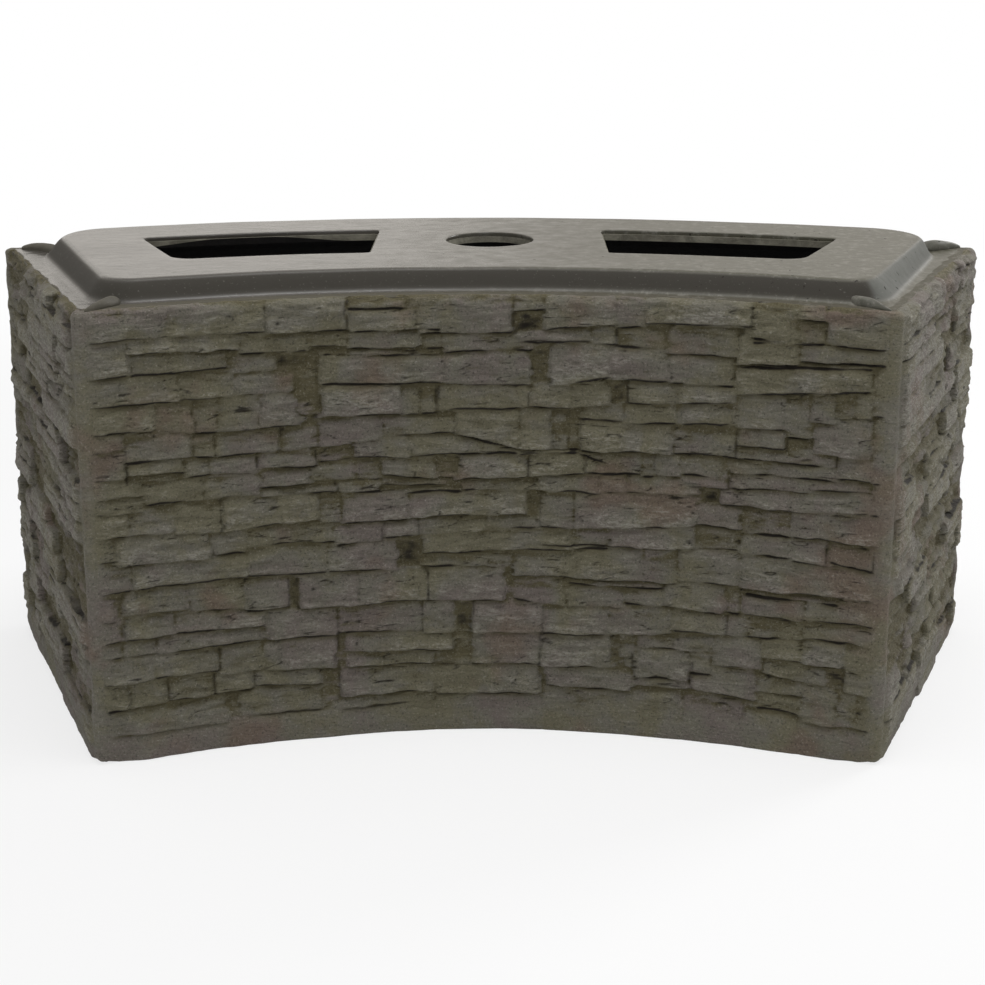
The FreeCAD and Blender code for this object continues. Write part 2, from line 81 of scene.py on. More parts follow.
def roundShoulder(depth, radius):
    # drop from a flat face to its rounded edge, at this depth in from the edge
    if depth >= radius:
        return 0.0
    share = 1 - max(depth, 0.0) / radius
    return radius * (1 - math.sqrt(max(1 - share * share, 0.0)))


def finishPiece(name, bm, nodes, material, shadeSmooth=True):
    mesh = bpy.data.meshes.new(name)
    bm.to_mesh(mesh)
    bm.free()
    if shadeSmooth:
        mesh.shade_smooth()
    piece = bpy.data.objects.new(name, mesh)
    bpy.context.scene.collection.objects.link(piece)
    mesh.materials.append(material)
    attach(piece, "root")
    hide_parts(*nodes)
    return piece


# Each stone of the front: left, right, bottomLeft, bottomRight, topLeft, topRight, how far it stands out
frontStones = [
    # top course
    (-295, -229, 315, 315, 336, 336, 5), (-228, -160, 315, 314, 336, 336, 5), (-159, -102, 314, 313, 336, 336, 5.5),
    (-97, -51, 312, 312, 327, 326, 6), (-101, -60, 328, 328, 336, 336, 3), (-59, -33, 314, 312, 336, 336, 4.5),
    (-50, 18, 309, 310, 336, 336, 5), (19, 40, 325, 326, 336, 336, 4.5), (20, 39, 309, 311, 324, 324, 0),
    (41, 92, 312, 317, 336, 336, 5.5), (93, 112, 315, 316, 336, 336, 5), (113, 189, 319, 320, 336, 336, 6.5),
    (190, 221, 312, 309, 336, 336, 4.5), (222, 241, 311, 310, 326, 326, 3.5), (222, 241, 327, 327, 336, 336, 5),
    (242, 294, 309, 310, 336, 336, 5),
    # second course
    (-295, -257, 289, 289, 313, 313, 5.5), (-256, -179, 305, 302, 313, 312, 6), (-255, -187, 289, 289, 303, 301, 4.5),
    (-178, -130, 299, 299, 305, 312, 5.5), (-129, -101, 301, 302, 311, 311, 3.5), (-186, -153, 285, 286, 299, 298, 4),
    (-152, -128, 287, 288, 297, 297, -2), (-100, -52, 300, 299, 310, 311, 5), (-120, -33, 295, 293, 299, 297, 3),
    (-46, -33, 298, 298, 310, 310, 3.5), (-32, 33, 295, 297, 308, 308, 4.5), (19, 74, 303, 304, 309, 313, 5),
    (75, 92, 302, 302, 314, 315, 4.5), (93, 129, 301, 300, 313, 314, 3.5), (130, 179, 297, 297, 314, 312, 4.5),
    (180, 222, 292, 294, 311, 308, 6), (223, 294, 297, 298, 308, 308, 4.5), (190, 240, 309, 310, 313, 313, 4),
    # third course
    (-295, -222, 268, 268, 286, 286, 5.5), (-221, -184, 269, 269, 286, 286, 5), (-183, -141, 269, 269, 284, 285, 4),
    (-140, -123, 251, 251, 285, 295, 2.5), (-121, -32, 274, 272, 293, 292, 5.5), (-31, 31, 271, 271, 293, 294, 5),
    (31, 43, 270, 272, 299, 299, 1), (45, 88, 270, 278, 298, 300, 7), (89, 130, 276, 276, 299, 299, 5.5),
    (132, 178, 275, 275, 296, 296, 5), (180, 273, 269, 279, 289, 295, 6), (276, 294, 262, 262, 295, 295, 4),
    (181, 274, 290, 295, 292, 298, 3),
    # fourth course
    (-295, -240, 249, 248, 266, 265, 5.5), (-239, -213, 245, 244, 264, 266, 5), (-212, -196, 243, 243, 267, 267, 4.5),
    (-195, -166, 243, 243, 266, 266, 5), (-165, -139, 243, 244, 266, 266, 5.5), (-121, -64, 250, 249, 272, 273, 6),
    (-62, -51, 249, 249, 270, 271, 4.5), (-50, -38, 250, 250, 270, 269, 3.5), (-37, 30, 252, 254, 269, 269, 5),
    (31, 60, 254, 254, 269, 269, 5.5), (61, 88, 254, 257, 269, 270, 6), (88, 100, 257, 259, 272, 274, 0),
    (101, 138, 259, 261, 273, 274, 5), (139, 178, 261, 263, 273, 274, 5.5), (181, 214, 245, 245, 268, 269, 5.5),
    (215, 232, 240, 240, 270, 271, 4), (233, 249, 253, 254, 271, 272, 5), (250, 263, 257, 258, 272, 274, 2),
    (264, 275, 259, 260, 275, 278, 4.5), (278, 294, 238, 238, 260, 260, 4),
    # fifth course
    (-295, -264, 236, 235, 247, 247, 5.5), (-262, -215, 226, 226, 243, 242, 5), (-214, -199, 226, 225, 242, 241, 4),
    (-198, -152, 225, 226, 240, 241, 4.5), (-151, -125, 224, 228, 241, 244, 3), (-124, -78, 227, 231, 245, 248, 5.5),
    (-77, -24, 233, 235, 248, 248, 4.5), (-23, 22, 234, 222, 249, 250, 5), (23, 46, 222, 222, 252, 252, 5.5),
    (47, 57, 222, 222, 251, 251, 3.5), (58, 66, 222, 222, 251, 251, 2.5), (67, 134, 222, 222, 243, 242, 6),
    (67, 99, 245, 245, 252, 256, 5), (100, 137, 244, 245, 257, 257, 5), (141, 174, 245, 247, 258, 260, 5.5),
    (135, 180, 223, 223, 242, 242, 4.5), (181, 215, 232, 232, 243, 243, 5.5), (216, 236, 224, 226, 239, 239, 3),
    (237, 276, 231, 229, 251, 255, 5.5), (278, 294, 213, 213, 236, 237, 4.5),
    # sixth course
    (-295, -262, 215, 215, 232, 233, 5), (-261, -221, 217, 215, 223, 224, 5), (-262, -226, 210, 210, 214, 214, 2),
    (-220, -203, 211, 211, 224, 224, 4.5), (-202, -169, 211, 210, 223, 223, 5), (-168, -127, 214, 212, 222, 223, 4.5),
    (-126, -99, 215, 216, 225, 225, 3), (-98, -58, 217, 216, 228, 232, 5.5), (-57, -6, 217, 219, 233, 232, 5),
    (-5, 21, 219, 219, 233, 221, 5), (22, 66, 218, 220, 221, 221, 4.5), (67, 112, 219, 207, 221, 221, 4),
    (112, 121, 204, 204, 220, 220, 4), (122, 140, 205, 205, 221, 221, 5), (141, 169, 207, 207, 222, 222, 4),
    (170, 252, 222, 222, 230, 228, 4.5), (179, 258, 211, 212, 221, 221, 5), (253, 277, 214, 214, 228, 228, 5),
    # seventh course
    (-295, -250, 201, 201, 213, 213, 5), (-249, -207, 193, 193, 209, 209, 4.5), (-206, -168, 193, 193, 209, 209, 5),
    (-167, -131, 198, 199, 209, 211, 5), (-130, -98, 202, 201, 213, 215, 4), (-97, -80, 201, 200, 214, 214, 3.5),
    (-79, -39, 203, 200, 214, 214, 5), (-38, -21, 201, 201, 214, 214, 2), (-20, 29, 199, 201, 216, 216, 6),
    (30, 70, 202, 204, 216, 218, 5.5), (71, 111, 205, 205, 218, 218, 5), (141, 176, 199, 199, 206, 206, 4.5),
    (178, 234, 200, 201, 210, 210, 5), (235, 276, 204, 206, 211, 212, 5), (278, 294, 190, 190, 211, 211, 5),
    # eighth course
    (-295, -251, 190, 188, 200, 200, 4.5), (-166, -112, 192, 192, 197, 197, 4.5), (-111, -80, 191, 191, 199, 199, 4.5),
    (-79, -31, 196, 194, 201, 199, 3), (-78, -20, 189, 190, 193, 192, 3), (-19, 36, 191, 191, 197, 198, 4),
    (36, 82, 191, 189, 200, 203, 5), (83, 101, 191, 192, 203, 203, 6), (102, 155, 192, 193, 203, 203, 5),
    (156, 169, 186, 187, 197, 197, -2), (170, 221, 187, 186, 198, 198, 5.5), (222, 276, 186, 191, 199, 203, 6),
    # ninth course
    (-295, -263, 172, 172, 187, 187, 5.5), (-262, -230, 172, 172, 186, 190, 5), (-229, -195, 170, 168, 190, 190, 5),
    (-194, -125, 168, 172, 190, 190, 6), (-124, -109, 168, 169, 189, 189, 3.5), (-107, -59, 168, 169, 189, 188, 5.5),
    (-58, 28, 171, 172, 188, 189, 6), (29, 37, 168, 168, 187, 187, 1), (38, 63, 163, 162, 185, 186, 4.5),
    (64, 152, 162, 168, 186, 187, 6.5), (153, 184, 169, 168, 185, 185, 5.5), (185, 221, 165, 166, 184, 183, 3.5),
    (222, 289, 167, 167, 184, 187, 6),
    # tenth course
    (-295, -272, 154, 154, 169, 169, 4.5), (-271, -205, 149, 149, 170, 168, 6), (-204, -178, 150, 150, 166, 166, 4.5),
    (-177, -114, 155, 154, 166, 170, 4), (-113, -78, 152, 153, 167, 166, 5), (-77, -52, 155, 156, 168, 169, 5.5),
    (-51, -3, 157, 159, 169, 167, 5), (-2, 36, 162, 162, 168, 170, 4.5), (37, 89, 149, 149, 157, 158, 4.5),
    (90, 152, 149, 151, 160, 165, 6), (153, 185, 152, 152, 168, 167, 3.5), (186, 221, 150, 150, 165, 165, 5),
    (222, 248, 149, 148, 165, 165, 6), (250, 282, 152, 147, 164, 164, 5), (283, 294, 127, 127, 166, 166, 4.5),
    # eleventh course
    (-295, -262, 131, 130, 152, 149, 5), (-261, -178, 131, 131, 146, 147, 5.5), (-177, -120, 131, 131, 150, 153, 4.5),
    (-119, -68, 131, 129, 151, 152, 5.5), (-67, -50, 131, 131, 152, 152, -1), (-49, -4, 142, 143, 155, 157, 5),
    (-49, 17, 132, 130, 140, 141, 4), (-3, 62, 144, 145, 158, 158, 5.5), (63, 89, 146, 147, 158, 158, 4),
    (20, 66, 124, 123, 141, 143, 5), (67, 113, 123, 123, 145, 147, 5.5), (114, 139, 122, 122, 147, 148, 4),
    (141, 185, 125, 125, 149, 150, 5), (187, 281, 123, 126, 147, 145, 6),
    # twelfth course
    (-295, -275, 110, 108, 128, 127, 5), (-274, -269, 109, 92, 127, 127, 1.5), (-267, -222, 112, 111, 127, 128, 5),
    (-221, -182, 109, 107, 128, 127, 4.5), (-181, -148, 105, 105, 127, 127, 5), (-147, -141, 104, 103, 126, 126, 0),
    (-140, -98, 103, 103, 128, 128, 5.5), (-97, -47, 103, 106, 128, 127, 6), (-46, 12, 105, 104, 130, 129, 5.5),
    (13, 19, 103, 103, 128, 128, 1), (19, 58, 105, 101, 122, 121, 4.5), (59, 130, 118, 117, 122, 121, 3.5),
    (59, 100, 101, 101, 117, 116, 4.5), (101, 130, 105, 104, 116, 117, 5), (131, 175, 104, 102, 120, 122, 5.5),
    (176, 186, 103, 102, 122, 122, 3.5), (189, 233, 103, 103, 117, 118, 5), (190, 258, 118, 118, 121, 121, 2.5),
    (234, 288, 105, 106, 119, 122, 5.5),
    # thirteenth course
    (-295, -270, 93, 93, 109, 107, 5), (-267, -233, 93, 93, 110, 110, 5.5), (-232, -200, 93, 93, 108, 108, 5),
    (-199, -167, 93, 92, 107, 104, 5.5), (-164, -113, 80, 81, 103, 101, 5), (-112, -50, 82, 81, 100, 102, 5),
    (-49, -27, 79, 79, 103, 105, 5.5), (-25, -13, 79, 80, 103, 103, 0), (-12, 40, 79, 79, 102, 100, 6),
    (41, 88, 78, 79, 99, 100, 6), (89, 136, 80, 82, 103, 103, 5), (138, 176, 86, 85, 102, 101, 5.5),
    (177, 233, 85, 88, 100, 101, 4.5), (235, 288, 91, 91, 102, 104, 4.5),
    # fourteenth course
    (-291, -270, 81, 81, 91, 91, 3.5), (-268, -247, 81, 80, 91, 91, 4), (-246, -171, 79, 81, 91, 90, 5),
    (-295, -250, 60, 61, 80, 78, 5.5), (-249, -200, 61, 61, 78, 77, 5), (-199, -169, 57, 57, 78, 79, 5),
    (-167, -115, 57, 54, 78, 79, 5.5), (-113, -108, 53, 53, 79, 80, 1), (-107, -27, 66, 65, 79, 77, 5.5),
    (-26, -13, 58, 59, 78, 78, 2.5), (-12, 38, 54, 54, 76, 77, 5.5), (39, 91, 52, 53, 76, 77, 6),
    (92, 97, 55, 56, 76, 77, 1), (98, 110, 62, 62, 79, 80, 4), (111, 167, 71, 71, 80, 82, 4.5),
    (168, 202, 62, 61, 83, 84, 5), (204, 232, 71, 72, 86, 87, 6), (233, 263, 71, 71, 89, 89, 5.5),
    (264, 291, 53, 53, 89, 89, 5),
    # fifteenth course
    (-106, -43, 55, 54, 63, 61, 5), (-42, -12, 52, 52, 62, 57, 3), (109, 150, 47, 47, 64, 66, 5.5),
    (151, 167, 53, 53, 66, 67, 4.5), (205, 250, 58, 55, 68, 69, 4.5), (251, 263, 54, 54, 70, 70, 1),
    (-295, -267, 40, 40, 58, 57, 5), (-266, -240, 41, 40, 58, 57, 5.5), (-239, -206, 41, 42, 57, 57, 4.5),
    (-205, -176, 42, 43, 57, 56, 5), (-175, -126, 45, 42, 55, 53, 5.5), (-125, -113, 30, 30, 52, 51, 1.5),
    (-112, -42, 31, 32, 53, 52, 5), (-41, 37, 30, 30, 51, 51, 5.5), (39, 42, 36, 36, 51, 51, 1),
    (43, 108, 37, 34, 51, 50, 5.5), (109, 151, 41, 40, 47, 47, 4.5), (152, 200, 40, 37, 61, 58, 5),
    (202, 233, 44, 44, 57, 54, 4.5), (201, 234, 32, 30, 42, 43, 4), (235, 258, 25, 25, 54, 54, 5),
    (259, 274, 26, 26, 53, 53, 4), (275, 294, 26, 26, 53, 53, 4.5),
    # plain foot
    (-295, -196, 20, 20, 38, 39, 4.5), (-195, -188, 8, 8, 40, 41, 2.5), (-187, -126, 23, 22, 42, 41, 4.5),
    (-295, -197, 0, 0, 18, 18, 4), (-196, -40, 0, 0, 20, 26, 4.5), (-112, -41, 21, 24, 30, 31, 4.5),
    (-39, 40, 0, 0, 29, 29, 4.5), (41, 146, 0, 0, 35, 38, 4.5), (147, 191, 0, 0, 37, 35, 4.5),
    (192, 231, 0, 0, 29, 27, 4.5), (232, 294, 0, 0, 23, 24, 4.5),
]

relief = {
    "level": 5.0,  # a stone listed as standing out this far lies on the wall's mean face
    "drift": (1.8, 1.2),  # how far the joints wander across and up
    "fray": (1.1, 0.5),
    "chip": (0.6, 0.35),
    "lean": 1.4,  # how much further a stone's foot stands out than its head
    "tilt": 0.9,
    "broad": 1.9,
    "cleft": 2.2,
    "strata": 0.5,
    "topRun": 4.5,  # a stone's head slopes back over this height, by this much
    "topDrop": 1.3,
    "footRound": 1.2,
    "sideRound": 2.6,
    "bedGroove": 1.8,
    "uprightGroove": 1.1,
    "footFade": (10.0, 34.0),  # below this height the joints run out into a plain foot
    "footEdge": 1.5,
    "cornerFoot": 7.0,
    "flareHeight": 50.0,
    "topEdge": 4.5,
    "overTop": 7.0,  # how far a wall's face runs on over its top edge, under the deck
    "rim": 0.7,
    "proud": 2.6,  # what stands out further than this is held back
    "cornerDip": 1.6,  # the walls and the corner seams dip under each other by this much
}
binWidth, binHeight, binReach = 24.0, 12.0, 8.0


def overTheTop(run):
    # a wall's face runs up, turns over its top edge and lies back on the ledge
    radius = relief["topEdge"]
    start = plan["ledgeZ"] - radius
    if run <= start:
        return run, 0.0, 0.0
    angle = min((run - start) / radius, math.pi / 2)
    flat = max(run - start - radius * math.pi / 2, 0.0)
    return start + radius * math.sin(angle), radius * (1 - math.cos(angle)) + flat, math.sin(angle)


def cornerLevel(side, far, point):
    # how far the section stands out at a corner, for the walls and the seam that meet there
    wave = noise.fractal(Vector((5.3 * side + 2.1 * far, point.z / 0.019, 3)), 1.0, 2.0, 3)
    return -0.3 + (1.7 if far else 0.5) * wave + 0.3 * noise.noise(point / 0.006)


def cornerWearAndHighlight(inset):
    # a corner is painted lighter like a raised stone: partly worn paint, partly a painted highlight on the corner's
    # edge
    return 1.1 * (1 - smoothStep(inset, 3.0, 12.0))


def rimLift(point, pull):
    return relief["rim"] * noise.fractal(point / 0.009, 1.0, 2.0, 3) - 0.3 - 0.6 * max(pull - 6.0, 0.0)


def sortIntoBins(stones):
    bins = {}
    for index, stone in enumerate(stones):
        first, last = stone[0] - binReach, stone[1] + binReach
        low, high = min(stone[2:4]) - binReach, max(stone[4:6]) + binReach
        for column in range(int(first // binWidth), int(last // binWidth) + 1):
            for row in range(int(low // binHeight), int(high // binHeight) + 1):
                bins.setdefault((column, row), []).append(index)
    return bins


def ridge(distance, width):
    return math.exp(-((distance / width) ** 2))


def stoneSurface(s, z, stones, bins, seed):
    # how far the wall stands out here, how much of a joint this is, how near the foot of a stone above is (for the wash
    # there, partly painted shade under that stone), and which stone it is
    bend = noise.noise_vector(Vector((s / 24, z / 13, seed)))
    chip = noise.noise_vector(Vector((s / 6.0, z / 3.6, seed + 40)))
    fray = noise.noise_vector(Vector((s / 11, z / 6, seed + 20)))
    here = s + relief["drift"][0] * bend.x + relief["fray"][0] * fray.x + relief["chip"][0] * chip.x
    up = z + relief["drift"][1] * bend.y + relief["fray"][1] * fray.y + relief["chip"][1] * chip.y
    bed = upright = 0.0
    near = 9.0
    owner, reach = None, 1e9
    for index in bins.get((int(here // binWidth), int(up // binHeight)), ()):
        first, last, footFirst, footLast, headFirst, headLast, out = stones[index]
        share = min(max((here - first) / (last - first), 0.0), 1.0)
        foot = footFirst + (footLast - footFirst) * share
        head = headFirst + (headLast - headFirst) * share
        side = max(first - here, here - last)
        away = max(0.8 * side, 3 * (foot - up) if up < foot else foot - up, up - head)
        if away < reach:
            owner, reach = (index, foot, head, side), away
        if out > 2 and side < 2.0 and foot > 4:
            depth = 0.2 + 0.8 * smoothStep(noise.noise(Vector((s / 28, index * 7.7, seed))), -0.3, 0.3)
            depth *= 1 - smoothStep(side, -3.0, 2.0)
            bed = max(bed, depth * ridge(up - foot + 0.3, 0.65 + 0.35 * depth))
            near = min(near, abs(up - foot + 1.2) + 3 * (1 - depth))
        if foot - 1 < up < head + 1:
            for end in (first, last):
                depth = 0.1 + 0.9 * smoothStep(noise.noise(Vector((end * 1.7, index * 3.3, seed + 5))), 0.0, 0.5)
                upright = max(upright, depth * ridge(here - end, 1.7))
    if owner is None:
        return -3.0, 0.0, 0.0, -1
    index, foot, head, side = owner
    out = stones[index][6]
    own = index * 4.3 + seed
    height = head - foot
    level = out - relief["level"]
    notch = smoothStep(-level, 2.5, 5.0)
    if notch > 0:
        # a notch deepens away from its rim
        inside = smoothStep(min(-side, up - foot, head - up), -1.0, 4.0)
        level = -1.5 + (level + 1.5) * inside
        notch *= inside
    level += relief["lean"] * (0.5 - min(max((up - foot) / height, 0.0), 1.2)) * (1 - notch)
    level += relief["tilt"] * noise.noise(Vector((s / 55, index * 3.1, seed)))
    run = min(relief["topRun"], 0.6 * height)
    level -= relief["topDrop"] * (1 - smoothStep(head - up, -1.5, run)) * (1 - notch)
    level -= roundShoulder(up - foot + 0.6, relief["footRound"])
    level -= 0.5 * roundShoulder(-side, relief["sideRound"])
    rough = relief["broad"] * noise.fractal(Vector((s / 28, z / 11, own)), 1.0, 2.0, 3)
    rough += relief["cleft"] * (0.42 - noise.turbulence(Vector((s / 19, z / 7, own)), 3, True))
    rough += relief["strata"] * noise.noise(Vector((s / 24, z / 1.9, own)))
    # short creases along the stone
    crease = ridge(noise.noise(Vector((s / 26, z / 4.5, own + 60))), 0.055)
    crease *= smoothStep(noise.noise(Vector((s / 17, z / 9, own + 80))), 0.02, 0.3)
    level += rough * (1 - 0.5 * notch) - 0.9 * crease
    level += 0.28 * noise.noise(Vector((s / 2.9, z / 2.5, seed + 9)))
    level -= relief["bedGroove"] * bed + relief["uprightGroove"] * upright
    # the notches join the dark lines: partly the dark wash of the hollows, partly painted shade inside them
    notch *= 0.5 + 0.6 * noise.noise(Vector((s / 7, z / 4, own)))
    joint = max(bed, 0.5 * upright, 0.6 * crease, 0.8 * notch)
    return level, joint, ridge(near, 2.8), index


def buildWall(name, span, cells, stones, seed, place, corners, nodes, bulge=1.0, flare=0.0):
    first, last = span
    height = plan["ledgeZ"]
    columns, rows = cells
    bins = sortIntoBins(stones)
    shades = random.Random(seed)
    shade = [shades.random() for stone in stones] + [0.5]
    bm = bmesh.new()
    bmesh.ops.create_grid(bm, x_segments=columns, y_segments=rows, size=0.5)
    joint = bm.verts.layers.float.new("joint")
    washAndShade = bm.verts.layers.float.new("washAndShade")
    tint = bm.verts.layers.float.new("tint")
    rise = bm.verts.layers.float.new("rise")
    rims = [{v for v in bm.verts if abs(v.co.y - level) < 1e-4} for level in (-0.5, 0.5)]
    for vert in bm.verts:
        s = first + (vert.co.x + 0.5) * (last - first)
        z, pull, turned = overTheTop((vert.co.y + 0.5) * (height + relief["overTop"]))
        out, line, near, index = stoneSurface(s, z, stones, bins, seed)
        out *= bulge
        fade = smoothStep(z + 5 * noise.noise(Vector((s / 40, seed, 7))), *relief["footFade"])
        plain = 0.4 + 0.8 * noise.fractal(Vector((s / 45, z / 14, seed)), 1.0, 2.0, 3)
        out = plain + (out - plain) * (0.25 + 0.75 * fade)
        # towards a corner the stones and their joints run out
        inset = min(s - first, last - s) + wallEdge
        point = place(s, z, -pull)
        clear = smoothStep(inset, 7.0, 17.0)
        if clear < 1:
            level = cornerLevel(*corners[0 if s - first < last - s else 1], point)
            out = level + (out - level) * clear
        out = max(out, 0.6 - plan["facing"])
        out -= 0.6 * max(out - relief["proud"], 0.0)
        line *= (0.2 + 0.8 * fade) * smoothStep(inset, 7.5, 12.0) * (1 - turned)
        vert[joint] = line
        # olive wash just under the foot of a stone above, partly painted shade beneath that stone
        vert[washAndShade] = near * (0.3 + 0.7 * fade) * clear
        vert[tint] = shade[index]
        # rise also carries the lighter paint of the corners, partly a painted highlight
        vert[rise] = out + cornerWearAndHighlight(inset)
        # the foot stands out a little, except in the middle and at the corners
        low = 1 - smoothStep(z, 0.0, relief["flareHeight"])
        out += flare * low * smoothStep(abs(s), 0.0, 150.0) * smoothStep(inset, 14.0, 40.0)
        foot = relief["footEdge"] + (relief["cornerFoot"] - relief["footEdge"]) * (1 - clear)
        out -= roundShoulder(z, foot)
        out -= relief["cornerDip"] * (1 - smoothStep(inset, wallEdge, 8.0))
        out *= max(1 - pull / 9, 0.0)
        vert.co = Vector((s, z + turned * rimLift(point, pull), out - pull))
    # the bottom and top edges go back to the wall behind, the back runs down, and both sides are closed
    for rim in rims:
        edges = [e for e in bm.edges if e.is_boundary and all(v in rim for v in e.verts)]
        made = bmesh.ops.extrude_edge_only(bm, edges=edges)["geom"]
        back = {g for g in made if isinstance(g, bmesh.types.BMVert)}
        for vert in back:
            vert.co.z = -plan["facing"]
    edges = [g for g in made if isinstance(g, bmesh.types.BMEdge) and all(v in back for v in g.verts)]
    made = bmesh.ops.extrude_edge_only(bm, edges=edges)["geom"]
    for vert in (g for g in made if isinstance(g, bmesh.types.BMVert)):
        vert.co.y = 0.0
    bmesh.ops.remove_doubles(bm, verts=bm.verts, dist=1e-3)
    bmesh.ops.holes_fill(bm, edges=[e for e in bm.edges if e.is_boundary], sides=0)
    for vert in bm.verts:
        vert.co = place(*vert.co)
    bmesh.ops.recalc_face_normals(bm, faces=bm.faces)
    piece = finishPiece(name, bm, nodes, stoneFinish)
    print(name, "has", len(piece.data.polygons), "faces")
    return piece


def onFront(s, z, out):
    return ringPoint(plan["frontRadius"] - out, s / plan["frontRadius"], z)


def onRear(s, z, out):
    return ringPoint(plan["rearRadius"] + out, s / plan["rearRadius"], z)


def onEnd(side):
    def place(s, z, out):
        return endPoint(plan["frontRadius"] + s, -out, side, z)
    return place


# The rear and end walls keep the courses of their solids
coursing = {
    "skirt": 11.0,
    "low": 11.0,
    "high": 23.0,
    "short": 40.0,
    "long": 140.0,
    "proud": 4.5,
    "recess": 3.5,
    "step": 1.0,
    "pitch": 5.0,
    "slabs": 0.35,  # share of the high stones that are two slabs
    "notches": 0.16,  # share of the stones that have a notch at one end
}


def coursedStones(length, start, seed):
    # the stones of a wall of this length, whose courses begin at this place
    dice, extra = random.Random(seed), random.Random(seed + 100)
    toFill = plan["ledgeZ"] - coursing["skirt"]
    heights = []
    while sum(heights) < toFill - coursing["low"]:
        heights.append(dice.uniform(coursing["low"], coursing["high"]))
    heights = [coursing["skirt"]] + [height * toFill / sum(heights) for height in heights]
    stones = []
    foot = 0.0
    for course, height in enumerate(heights):
        shift = coursing["pitch"] / 2 * (course % 2)
        ends = [0.0]
        while length - ends[-1] > coursing["long"] + coursing["short"]:
            joint = ends[-1] + dice.uniform(coursing["short"], coursing["long"])
            ends.append(coursing["pitch"] * round(joint / coursing["pitch"]) + shift)
        middle = (ends[-1] + length) / 2
        ends.append(coursing["pitch"] * round(middle / coursing["pitch"]) + shift)
        ends.append(length)
        levels = round((coursing["proud"] + coursing["recess"]) / coursing["step"])
        faces = []
        while len(faces) < len(ends) - 1:
            face = coursing["step"] * dice.randint(0, levels) - coursing["recess"]
            if face not in faces[-1:]:
                faces.append(face)
        for first, last, face in zip(ends, ends[1:], faces):
            first += start - (9 if first == 0 else 0)
            last += start + (9 if last == length else 0)
            sag = extra.uniform(-1.2, 1.2)
            low, high = (foot, foot + sag), (foot + height, foot + height + sag)
            face += relief["level"]
            chance = extra.random()
            if height > 16 and chance < coursing["slabs"]:
                split = foot + height * extra.uniform(0.38, 0.62)
                stones.append((first, last, *low, split, split + 1.5, face))
                stones.append((first, last, split + 0.5, split + 2, *high, face - extra.uniform(0.3, 1.2)))
            elif last - first > 50 and chance > 1 - coursing["notches"]:
                cut = first + extra.uniform(9, 16)
                stones.append((first, cut, *low, *high, 0.5))
                stones.append((cut + 1, last, *low, *high, face))
            else:
                stones.append((first + 0.5, last - 0.5, *low, *high, face))
        foot += height
    return stones



def newFinish(name):
    material = bpy.data.materials.new(name)
    material.use_nodes = True
    return material, material.node_tree, material.node_tree.nodes["Principled BSDF"]


def addNode(tree, kind, values=None, **settings):
    node = tree.nodes.new(kind)
    for key, value in settings.items():
        setattr(node, key, value)
    for key, value in (values or {}).items():
        if isinstance(value, bpy.types.NodeSocket):
            tree.links.new(value, node.inputs[key])
        else:
            node.inputs[key].default_value = value
    return node


def addNoise(tree, vector, scale, detail=4.0, roughness=0.55, distortion=0.0):
    values = {"Vector": vector, "Scale": scale, "Detail": detail, "Roughness": roughness, "Distortion": distortion}
    return addNode(tree, "ShaderNodeTexNoise", values).outputs["Fac"]


def addRange(tree, value, low, high, toLow=0.0, toHigh=1.0):
    values = {"Value": value, "From Min": low, "From Max": high, "To Min": toLow, "To Max": toHigh}
    return addNode(tree, "ShaderNodeMapRange", values, interpolation_type="SMOOTHSTEP").outputs["Result"]


def addMix(tree, share, first, second, blend="MIX"):
    node = tree.nodes.new("ShaderNodeMix")
    node.data_type = "RGBA"
    node.blend_type = blend
    for socket, value in ((node.inputs[0], share), (node.inputs[6], first), (node.inputs[7], second)):
        if isinstance(value, bpy.types.NodeSocket):
            tree.links.new(value, socket)
        else:
            socket.default_value = value
    return node.outputs[2]


def addMath(tree, operation, first, second=0.0):
    node = tree.nodes.new("ShaderNodeMath")
    node.operation = operation
    for socket, value in ((node.inputs[0], first), (node.inputs[1], second)):
        if isinstance(value, bpy.types.NodeSocket):
            tree.links.new(value, socket)
        else:
            socket.default_value = value
    return node.outputs[0]


def addRamp(tree, share, stops):
    node = tree.nodes.new("ShaderNodeValToRGB")
    ramp = node.color_ramp
    while len(ramp.elements) < len(stops):
        ramp.elements.new(0.5)
    for element, (place, colour) in zip(ramp.elements, stops):
        element.position = place
        element.color = colour
    tree.links.new(share, node.inputs["Fac"])
    return node.outputs["Color"]


def shadeOf(red, green, blue):
    # a colour as a picture shows it, from 0 to 255, as the linear colour that a socket takes
    def linear(value):
        value /= 255
        return value / 12.92 if value <= 0.04045 else ((value + 0.055) / 1.055) ** 2.4
    return (linear(red), linear(green), linear(blue), 1.0)


slate = {
    "ground": shadeOf(87, 81, 58),  # olive brown that fills the hollows, also laid beside the joints as a wash that is partly painted shade
    "olive": shadeOf(104, 100, 81),
    "grey": shadeOf(106, 103, 92),
    "violet": shadeOf(106, 98, 92),
    "rust": shadeOf(104, 89, 77),
    "line": shadeOf(26, 21, 14),  # the joints themselves
    "dry": shadeOf(176, 173, 162),  # dry-brushed high spots
    "roughness": 0.78,
    "specular": 0.35,
}


